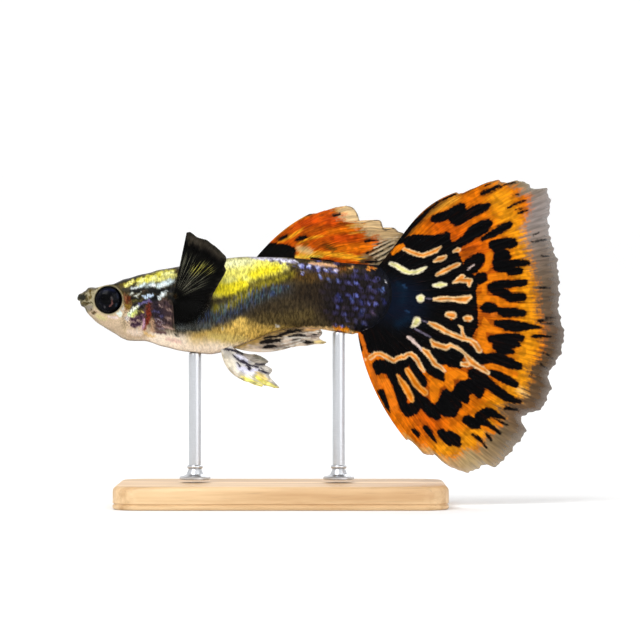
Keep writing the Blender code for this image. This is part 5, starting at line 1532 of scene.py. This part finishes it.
def make_anal(finish):
    thickness = plain_thickness(root=0.42, membrane=0.16, ridge=0.10, bundles=6)
    fin = Fin("anal_fin", anal_middle, thickness, columns=121, rows=100, streak_length=3.0, streak_count=18)
    canvas = Canvas(fin.brush_x, fin.brush_y, (240, 220, 196), waver=0.3)
    canvas.washes(ANAL_WASHES)
    fin.paint["paint"] = canvas.colour
    fin.paint["ink_paint"][...] = (26, 22, 20)
    fin.numbers["ink"] = strokes_gap(fin.x, fin.y, ANAL_BLACK)
    fin.paint["light_paint"][...] = (246, 238, 224)
    fin.numbers["light"] = strokes_gap(fin.x, fin.y, ANAL_PALE)
    fin.paint["edge_paint"][...] = (160, 146, 128)
    fin.numbers["edge"] = fin.to_edge + 3.0
    fin.numbers["solid"] = smoothstep(-1.0, 1.0, (1 - fin.t) * 4)
    return fin.build(finish, "pale_fin", "fin_anal")


# Eyes

EYE_WASHES = (
    ((20, 24, 46), 2, ((103, 291, 1.5), (109, 289.5, 1.6), (115, 290.5, 1.5))),
    ((34, 34, 36), 1, ((100, 296, .6), (101.5, 292.5, .8), (104, 290.5, .5)),
     ((100.5, 303, .6), (102.5, 306, .6))),
    ((84, 80, 84), .9, ((105.8, 307, 1.1),)), ((88, 82, 82), 1, ((112.6, 297.5, .9), (113.2, 299.5, .7))),
    ((128, 84, 78), .6, ((113.2, 300, .35), (113.5, 303, .5), (112, 305.5, .45), (110.5, 306.6, .3))),
    ((48, 60, 74), 1, ((117.6, 304, .7), (117, 306.5, .6))),
    ((30, 34, 52), 1, ((118, 294, .8), (119, 298, .7))),
)
PUPIL_AT = (108.0, 298.8)
PUPIL_RADIUS = 6.4
EYE_RINGS = 44
EYE_SIDES = 96


def make_eye(side, word, finish):
    """A flattened ball whose rings run round the line of sight."""
    ring, turn = np.meshgrid(
        np.linspace(0, math.pi, EYE_RINGS), np.arange(EYE_SIDES) * 2 * math.pi / EYE_SIDES, indexing="ij"
    )
    s = EYE_AT[0] + EYE_RADIUS * np.sin(ring) * np.cos(turn)
    h = EYE_AT[1] + EYE_RADIUS * np.sin(ring) * np.sin(turn)
    y = side * (EYE_OUT + EYE_HALF_DEPTH * np.cos(ring))
    places = np.stack((s, y, h), -1)
    x, up = drawing_x(s), drawing_y(h)
    canvas = Canvas(x, up, (5, 6, 12), waver=0.2)
    canvas.washes(EYE_WASHES)
    from_middle = np.hypot(x - PUPIL_AT[0], up - PUPIL_AT[1])
    canvas.blend(1 - smoothstep(PUPIL_RADIUS - 1.2, PUPIL_RADIUS, from_middle), (2, 2, 4))
    canvas.washes(EYE_WASHES[3:5])
    rim = np.hypot(x - ORBIT_AT[0], up - ORBIT_AT[1])
    canvas.blend(smoothstep(11.0, 12.8, rim), (6, 6, 9))
    flat, faces, values = weld(places, grid_faces(EYE_RINGS, EYE_SIDES, wrap=True), {"paint": canvas.colour})
    eye = mesh_object(f"eye_ball_{word}", flat, faces, paint={"paint": values["paint"]})
    finish_piece(eye, finish)
    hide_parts(f"eye_{word}")


# Materials


def shader_colour(colour, gain=1.0):
    """A screen colour as the four numbers of a shader's colour."""
    return (*(gain * linear(colour)), 1)


class Finish:
    """A material and short ways to add its nodes."""

    def __init__(self, name, roughness, specular=0.5, metallic=0.0, coat=0.0, coat_roughness=0.1):
        self.material = bpy.data.materials.new(name)
        self.material.use_nodes = True
        self.tree = self.material.node_tree
        self.shader = self.tree.nodes["Principled BSDF"]
        for socket, value in (
            ("Roughness", roughness), ("Specular IOR Level", specular), ("Metallic", metallic),
            ("Coat Weight", coat), ("Coat Roughness", coat_roughness),
        ):
            self.shader.inputs[socket].default_value = value

    def node(self, kind, **settings):
        made = self.tree.nodes.new(kind)
        for key, value in settings.items():
            setattr(made, key, value)
        return made

    def put(self, socket, value):
        if isinstance(value, bpy.types.NodeSocket):
            self.tree.links.new(value, socket)
        else:
            socket.default_value = value

    def attribute(self, name, output="Fac"):
        return self.node("ShaderNodeAttribute", attribute_name=name).outputs[output]

    def place(self, scale, turn=(0, 0, 0)):
        """The point on the piece, in mm, stretched by scale."""
        where = self.node("ShaderNodeTexCoord").outputs["Object"]
        mapping = self.node("ShaderNodeMapping")
        mapping.inputs["Scale"].default_value = tuple(value / MM for value in scale)
        mapping.inputs["Rotation"].default_value = turn
        self.put(mapping.inputs["Vector"], where)
        return mapping.outputs["Vector"]

    def noise(self, vector, detail=3.0, roughness=0.55, scale=1.0):
        made = self.node("ShaderNodeTexNoise")
        self.put(made.inputs["Vector"], vector)
        for socket, value in (("Scale", scale), ("Detail", detail), ("Roughness", roughness)):
            made.inputs[socket].default_value = value
        return made.outputs["Fac"]

    def math(self, operation, *values):
        made = self.node("ShaderNodeMath", operation=operation)
        for socket, value in zip(made.inputs, values):
            self.put(socket, value)
        return made.outputs["Value"]

    def ramp(self, value, low, high, to_low=0.0, to_high=1.0):
        made = self.node("ShaderNodeMapRange", interpolation_type="SMOOTHSTEP")
        for socket, setting in (
            ("Value", value), ("From Min", low), ("From Max", high), ("To Min", to_low), ("To Max", to_high)
        ):
            self.put(made.inputs[socket], setting)
        return made.outputs["Result"]

    def mix(self, share, first, second, blend="MIX"):
        made = self.node("ShaderNodeMix", data_type="RGBA", blend_type=blend)
        self.put(made.inputs["Factor"], share)
        for socket, value in ((made.inputs[6], first), (made.inputs[7], second)):
            self.put(socket, value)
        return made.outputs[2]

    def between(self, share, first, second):
        """The first number where the share is 1, the second where it is 0."""
        return self.math(
            "ADD", self.math("MULTIPLY", first, share),
            self.math("MULTIPLY", second, self.math("SUBTRACT", 1.0, share)),
        )

    def tint(self, colour, value):
        """A colour times a number."""
        grey = self.node("ShaderNodeCombineColor")
        for socket in grey.inputs:
            self.put(socket, value)
        return self.mix(1.0, colour, grey.outputs["Color"], "MULTIPLY")

    def bump(self, height, distance, strength=1.0):
        made = self.node("ShaderNodeBump")
        made.inputs["Distance"].default_value = distance * MM
        made.inputs["Strength"].default_value = strength
        self.put(made.inputs["Height"], height)
        self.put(self.shader.inputs["Normal"], made.outputs["Normal"])

    def colour(self, value):
        self.put(self.shader.inputs["Base Color"], value)


def skin_finish():
    """Smooth wet skin with fine pigment spots."""
    finish = Finish("wet_skin", roughness=0.36, specular=0.06, coat=0.02, coat_roughness=0.18)
    speckle = finish.noise(finish.place((7.5, 5.0, 5.5)), detail=4.0)
    soft = finish.noise(finish.place((1.6, 1.2, 1.2)), detail=2.0)
    spots = finish.ramp(speckle, 0.3, 0.7, 0.80, 1.10)
    clouds = finish.ramp(soft, 0.3, 0.7, -0.08, 0.10)
    smooth_tone = finish.math("ADD", spots, clouds)
    rough_tone = finish.ramp(speckle, 0.42, 0.54, 0.42, 1.12)
    tone = finish.between(finish.attribute("mottle"), rough_tone, smooth_tone)
    finish.colour(finish.tint(finish.attribute("paint", "Color"), tone))
    finish.bump(finish.noise(finish.place((7.0, 7.0, 7.0)), detail=3.0), 0.02, 0.5)
    return finish.material


GLINT_AT = 0.80
GLINT_COLOURS = ((58, 50, 96), (112, 126, 214))
STREAK_COLOURS = ((56, 74, 112), (64, 88, 92))


def scale_finish():
    """Glossy scales, each of its own tone, with painted shade towards its rim and painted glints, flecked with
    pigment.
    """
    finish = Finish("wet_scales", roughness=0.36, specular=0.06, coat=0.015, coat_roughness=0.15)
    fleck = finish.noise(finish.place((5.6, 3.0, 1.9)), detail=3.0)
    rough_tone = finish.ramp(fleck, 0.32, 0.68, 0.42, 1.42)
    smooth_tone = finish.ramp(fleck, 0.30, 0.70, 0.90, 1.05)
    tone = finish.between(finish.attribute("mottle"), rough_tone, smooth_tone)
    tone = finish.math("MULTIPLY", tone, finish.ramp(finish.attribute("tone"), -1.0, 1.0, 0.95, 1.05))
    on_scale = finish.node("ShaderNodeSeparateXYZ")
    finish.put(on_scale.inputs["Vector"], finish.attribute("on_scale", "Vector"))
    along, across, strength = on_scale.outputs
    away = finish.math("ABSOLUTE", across)
    # Each plate's tone falls from its middle to its rim: painted shade along its edges
    rim = finish.ramp(finish.math("MAXIMUM", along, away), 0.75, 1.0, 1.02, 0.87)
    tone = finish.math("MULTIPLY", tone, rim)
    painted = finish.tint(finish.attribute("paint", "Color"), tone)
    # Upright blue streaks, some of them nearer to green
    upright = finish.noise(finish.place((7.0, 3.0, 0.9)), detail=3.0, roughness=0.6)
    hue = finish.ramp(finish.noise(finish.place((1.8, 1.8, 1.2)), detail=1.0), 0.42, 0.58)
    blue, teal = (shader_colour(colour, PAINT_GAIN) for colour in STREAK_COLOURS)
    streak = finish.tint(finish.mix(hue, blue, teal), finish.ramp(fleck, 0.32, 0.68, 0.5, 1.6))
    shown = finish.math("MULTIPLY", finish.attribute("blue"), finish.ramp(upright, 0.42, 0.64, 0.0, 0.82))
    painted = finish.mix(shown, painted, streak)
    # A round glint in the part of the plate that shows
    ahead = finish.math("MULTIPLY", finish.math("SUBTRACT", along, GLINT_AT), 2.4)
    aside = finish.math("MULTIPLY", away, 0.85)
    from_glint = finish.math("SQRT", finish.math("ADD", finish.math("MULTIPLY", ahead, ahead),
                                                 finish.math("MULTIPLY", aside, aside)))
    spot = finish.math("ADD", from_glint, finish.ramp(fleck, 0.3, 0.7, 0.16, -0.16))
    glint = finish.math("MULTIPLY", strength, finish.ramp(spot, 0.0, 0.60, 0.70, 0.0))
    rim_colour, core_colour = (shader_colour(colour, PAINT_GAIN) for colour in GLINT_COLOURS)
    shine = finish.mix(finish.ramp(glint, 0.25, 0.75), rim_colour, core_colour)
    finish.colour(finish.mix(glint, painted, shine))
    finish.bump(finish.noise(finish.place((9.0, 9.0, 9.0)), detail=2.0), 0.015, 0.4)
    return finish.material


def fin_finish(name, streaks, clear_edge, wobble=1.0, contrast=0.40, halo=(120, 50, 6)):
    """Fin skin: a ground, a margin, ink with a brown halo and light marks, whose edges follow the rays."""
    finish = Finish(name, roughness=0.45, specular=0.025)
    along = finish.node("ShaderNodeAttribute", attribute_name="along").outputs["Vector"]
    stretch = finish.node("ShaderNodeMapping")
    stretch.inputs["Scale"].default_value = (streaks, 7.0, 1.0)
    finish.put(stretch.inputs["Vector"], along)
    streak = finish.noise(stretch.outputs["Vector"], detail=3.0)
    fine = finish.noise(finish.place((3.2, 3.2, 3.2)), detail=3.0)
    streak_shift = finish.ramp(streak, 0.25, 0.75, -wobble, wobble)
    fine_shift = finish.ramp(fine, 0.25, 0.75, -0.6, 0.6)
    shift = finish.math("ADD", streak_shift, fine_shift)

    def edge_of(key, softness, reach=1.0):
        moved = finish.math("ADD", finish.attribute(key), finish.math("MULTIPLY", shift, reach))
        return finish.ramp(moved, -softness, softness, 1.0, 0.0)

    def streaked(key, low, high):
        return finish.tint(finish.attribute(key, "Color"), finish.ramp(streak, 0.3, 0.7, low, high))

    ground = streaked("paint", 1.08 - contrast, 1.12)
    margin = streaked("edge_paint", 0.72, 1.22)
    light = streaked("light_paint", 0.80, 1.08)
    broad = finish.noise(finish.place((1.3, 1.3, 1.3)), detail=1.0)
    ground = finish.tint(ground, finish.ramp(broad, 0.36, 0.60, 0.66, 1.06))
    light = finish.tint(light, finish.ramp(broad, 0.38, 0.60, 0.74, 1.04))
    brown = shader_colour(halo, PAINT_GAIN)
    ground = finish.mix(finish.math("MULTIPLY", edge_of("ink", 3.6), 0.82), ground, brown)
    colour = finish.mix(edge_of("edge", 7.0, 6.0), ground, margin)
    sheen = finish.ramp(streak, 0.56, 0.74, 0.0, 0.07)
    ink = finish.mix(sheen, finish.attribute("ink_paint", "Color"), brown)
    colour = finish.mix(edge_of("ink", 0.9), colour, ink)
    colour = finish.mix(edge_of("light", 1.0, 0.8), colour, light)
    # Single rays that catch the light
    lengthwise = finish.node("ShaderNodeMapping")
    lengthwise.inputs["Scale"].default_value = (streaks, 1.3, 1.0)
    finish.put(lengthwise.inputs["Vector"], along)
    rays_seen = finish.noise(lengthwise.outputs["Vector"], detail=3.0, roughness=0.7)
    ray = finish.math("MULTIPLY", finish.attribute("glow"), finish.ramp(rays_seen, 0.54, 0.64))
    finish.colour(finish.mix(ray, colour, finish.attribute("glow_paint", "Color")))
    if clear_edge < 1:
        solid = finish.math("MULTIPLY", finish.attribute("solid"), finish.ramp(streak, 0.3, 0.7, 0.9, 1.25))
        finish.put(finish.shader.inputs["Alpha"], finish.ramp(solid, 0.0, 1.0, clear_edge, 1.0))
    finish.bump(streak, 0.04, 0.5)
    return finish.material


def eye_finish():
    finish = Finish("wet_eye", roughness=0.12, specular=0.04, coat=0.03, coat_roughness=0.03)
    shimmer = finish.noise(finish.place((4.0, 4.0, 4.0)), detail=3.0)
    finish.colour(finish.tint(finish.attribute("paint", "Color"), finish.ramp(shimmer, 0.3, 0.7, 0.8, 1.2)))
    return finish.material


# Between the grain, along the grain and in the darker year rings
WOOD_COLOURS = ((222, 190, 146), (186, 146, 100), (170, 128, 84))
STEEL_COLOUR = (196, 198, 202)


def wood_finish():
    finish = Finish("oiled_maple", roughness=0.45, specular=0.4)
    grain = finish.noise(finish.place((0.035, 0.9, 0.6)), detail=6.0, roughness=0.6)
    rings = finish.noise(finish.place((0.012, 0.16, 0.12)), detail=2.0)
    pores = finish.noise(finish.place((0.25, 6.0, 6.0)), detail=2.0)
    pale, dark, ring = (shader_colour(colour) for colour in WOOD_COLOURS)
    base = finish.mix(finish.ramp(grain, 0.35, 0.68), pale, dark)
    base = finish.mix(finish.ramp(rings, 0.42, 0.62, 0.0, 0.45), base, ring)
    finish.colour(finish.tint(base, finish.ramp(pores, 0.55, 0.75, 1.0, 0.82)))
    finish.bump(pores, 0.03, 0.25)
    return finish.material


def steel_finish():
    finish = Finish("brushed_steel", roughness=0.30, metallic=1.0)
    lines = finish.noise(finish.place((1.5, 1.5, 26.0)), detail=2.0)
    finish.colour(finish.tint(shader_colour(STEEL_COLOUR), finish.ramp(lines, 0.3, 0.7, 0.95, 1.02)))
    finish.put(finish.shader.inputs["Roughness"], finish.ramp(lines, 0.3, 0.7, 0.28, 0.33))
    return finish.material


def floor_finish():
    finish = Finish("white_paper", roughness=0.9, specular=0.1)
    fibre = finish.noise(finish.place((0.3, 0.3, 0.3)), detail=4.0)
    finish.colour(finish.tint((0.86, 0.86, 0.86, 1), finish.ramp(fibre, 0.3, 0.7, 0.985, 1.0)))
    # The far part gets less light than the part under the stand, and is lit up to match it
    finish.shader.inputs["Emission Color"].default_value = (1, 1, 1, 1)
    reach = finish.node("ShaderNodeVectorMath", operation="LENGTH")
    finish.put(reach.inputs[0], finish.node("ShaderNodeTexCoord").outputs["Object"])
    lit = finish.ramp(reach.outputs["Value"], 0.12, 0.75, 0.03, 0.22)
    finish.put(finish.shader.inputs["Emission Strength"], lit)
    return finish.material


# Stand


def rounded_outline(half_x, half_y, corner, sides=16):
    """A round-cornered rectangle, counter-clockwise."""
    points = []
    for quarter, (cx, cy) in enumerate(((1, 1), (-1, 1), (-1, -1), (1, -1))):
        for k in range(sides + 1):
            turn = math.radians(90 * quarter + 90 * k / sides)
            points.append((cx * (half_x - corner) + corner * math.cos(turn),
                           cy * (half_y - corner) + corner * math.sin(turn)))
    return points


def make_plate(finish):
    """The base, turned over with a soft round edge above and a shadow groove near the foot."""
    length, width, height = PLATE_SIZE
    soft = 0.55
    steps = 8
    profile = [(0.35, 0.0), (0.12, 0.05), (0.0, 0.22), (0.0, 0.42), (0.12, 0.50), (0.12, 0.60), (0.0, 0.68),
               (0.0, height - soft)]
    for k in range(1, steps + 1):
        turn = math.radians(90 * k / steps)
        profile.append((soft * (1 - math.cos(turn)), height - soft + soft * math.sin(turn)))
    places, rows = [], 0
    for inset, z in profile + [(3.0, height), (6.0, height)]:
        outline = rounded_outline(length / 2 - inset, width / 2 - inset, max(PLATE_CORNER - inset, 0.4))
        places.append([(PLATE_CENTRE_X - SNOUT_X + x, y, z - EYE_LEVEL) for x, y in outline])
        rows += 1
    places = np.array(places)
    columns = places.shape[1]
    faces = [tuple(f) for f in grid_faces(rows, columns, wrap=True)]
    flat = to_metres(places).reshape(-1, 3)
    faces += [tuple(range(columns)), tuple((rows - 1) * columns + k for k in range(columns))]
    mesh = bpy.data.meshes.new("stand_plate")
    mesh.from_pydata([tuple(p) for p in flat], [], faces)
    mesh.shade_smooth()
    mesh.set_sharp_from_angle(angle=math.radians(50))
    plate = bpy.data.objects.new("stand_plate", mesh)
    bpy.context.scene.collection.objects.link(plate)
    finish_piece(plate, finish)
    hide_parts("stand_base")


def make_rod(node, s, finish):
    """A turned rod: a flared foot with a bead, a straight shaft and a flat top with a small chamfered edge under the
    belly.
    """
    low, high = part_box(node)
    bottom, top = low.z / MM, high.z / MM + ROD_REACH
    foot = (high.x - low.x) / 2 / MM
    profile = [(0.0, bottom), (foot - 0.1, bottom), (foot, bottom + 0.08), (foot, bottom + 0.26),
               (foot - 0.1, bottom + 0.36), (foot - 0.45, bottom + 0.42), (foot - 0.72, bottom + 0.56),
               (ROD_RADIUS + 0.08, bottom + 0.95)]
    for k in range(9):
        turn = math.pi * k / 8
        profile.append((ROD_RADIUS + 0.17 * math.sin(turn), bottom + 1.12 + 0.2 * (1 - math.cos(turn))))
    profile += [(ROD_RADIUS, bottom + 1.7), (ROD_RADIUS, top - 0.9), (ROD_RADIUS, top - 0.16),
                (ROD_RADIUS - 0.05, top - 0.05), (ROD_RADIUS - 0.16, top), (0.0, top)]
    sides = 48
    turns = np.arange(sides) * 2 * math.pi / sides
    rings = [[(s + r * math.cos(a), r * math.sin(a), z - EYE_LEVEL) for a in turns] for r, z in profile]
    flat, triangles, _ = weld(rings, grid_faces(len(profile), sides, wrap=True), {})
    rod = mesh_object(f"{node}_turned", flat, triangles)
    rod.data.set_sharp_from_angle(angle=math.radians(35))
    finish_piece(rod, finish)
    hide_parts(node)


# Studio


def make_floor(finish):
    """A white sheet, level under the stand, that curves up all round it and is open above."""
    level_radius = 0.85
    bend_radius = 0.55
    wall_top = 1.5
    steps = 20
    sides = 96
    profile = [(level_radius * share, 0.0) for share in (0.1, 0.3, 0.6, 1.0)]
    for k in range(1, steps + 1):
        turn = math.radians(90 * k / steps)
        profile.append((level_radius + bend_radius * math.sin(turn), bend_radius * (1 - math.cos(turn))))
    profile.append((level_radius + bend_radius, wall_top))
    turns = [2 * math.pi * k / sides for k in range(sides)]
    points = [(r * math.cos(a), r * math.sin(a), z) for r, z in profile for a in turns]
    faces = [tuple(range(sides))]
    faces += [tuple(int(k) for k in face[::-1]) for face in grid_faces(len(profile), sides, wrap=True)]
    mesh = bpy.data.meshes.new("floor")
    mesh.from_pydata(points, [], faces)
    mesh.shade_smooth()
    floor = bpy.data.objects.new("floor", mesh)
    bpy.context.scene.collection.objects.link(floor)
    mesh.materials.append(finish)


def area_light(name, at, target, size, power):
    light = bpy.data.lights.new(name, "AREA")
    light.shape = "SQUARE"
    light.size = size
    light.energy = power
    lamp = bpy.data.objects.new(name, light)
    bpy.context.scene.collection.objects.link(lamp)
    lamp.location = at
    lamp.rotation_euler = (Vector(target) - Vector(at)).to_track_quat("-Z", "Y").to_euler()


def make_lights():
    middle = (0.0, 0.0, 0.02)
    area_light("key", (-0.28, -0.50, 0.62), middle, 0.45, 4.4)
    area_light("fill", (0.50, -0.55, 0.25), middle, 0.6, 1.7)
    area_light("rim", (0.15, 0.55, 0.55), middle, 0.5, 1.6)
    world = bpy.data.worlds.new("studio")
    world.use_nodes = True
    world.node_tree.nodes["Background"].inputs["Color"].default_value = (1, 1, 1, 1)
    world.node_tree.nodes["Background"].inputs["Strength"].default_value = 0.52
    bpy.context.scene.world = world


def make_camera():
    camera_data = bpy.data.cameras.new("camera")
    camera_data.sensor_width = 36.0
    view_width = IMAGE_SIDE * DRAWING_UNIT * MM
    camera_data.lens = camera_data.sensor_width * CAMERA_DISTANCE / view_width
    camera_data.clip_start, camera_data.clip_end = 0.01, 20.0
    camera = bpy.data.objects.new("camera", camera_data)
    bpy.context.scene.collection.objects.link(camera)
    camera.location = (CAMERA_AT[0], -CAMERA_DISTANCE, CAMERA_AT[1])
    camera.rotation_euler = (math.pi / 2, 0.0, 0.0)
    bpy.context.scene.camera = camera


def main():
    bpy.context.scene.view_settings.view_transform = "Standard"
    make_camera()
    make_lights()
    make_floor(floor_finish())
    grid, normal = make_skin(skin_finish())
    make_scales(grid, normal, scale_finish())
    make_tail(fin_finish("tail_fin_skin", streaks=150.0, clear_edge=0.6, wobble=0.6))
    make_dorsal(fin_finish("dorsal_fin_skin", streaks=60.0, clear_edge=0.6, wobble=0.7, contrast=0.58))
    dark = fin_finish("dark_fin_skin", streaks=180.0, clear_edge=0.12, wobble=0.5)
    pale = fin_finish("pale_fin_skin", streaks=60.0, clear_edge=0.6, wobble=0.8, contrast=0.30, halo=(120, 112, 110))
    eye = eye_finish()
    for side, word in ((-1, "left"), (1, "right")):
        make_pectoral(side, word, dark)
        make_pelvic(side, word, pale)
        make_eye(side, word, eye)
    make_anal(pale)
    make_plate(wood_finish())
    steel = steel_finish()
    for node, s in ROD_PLACES.items():
        make_rod(node, s, steel)


main()
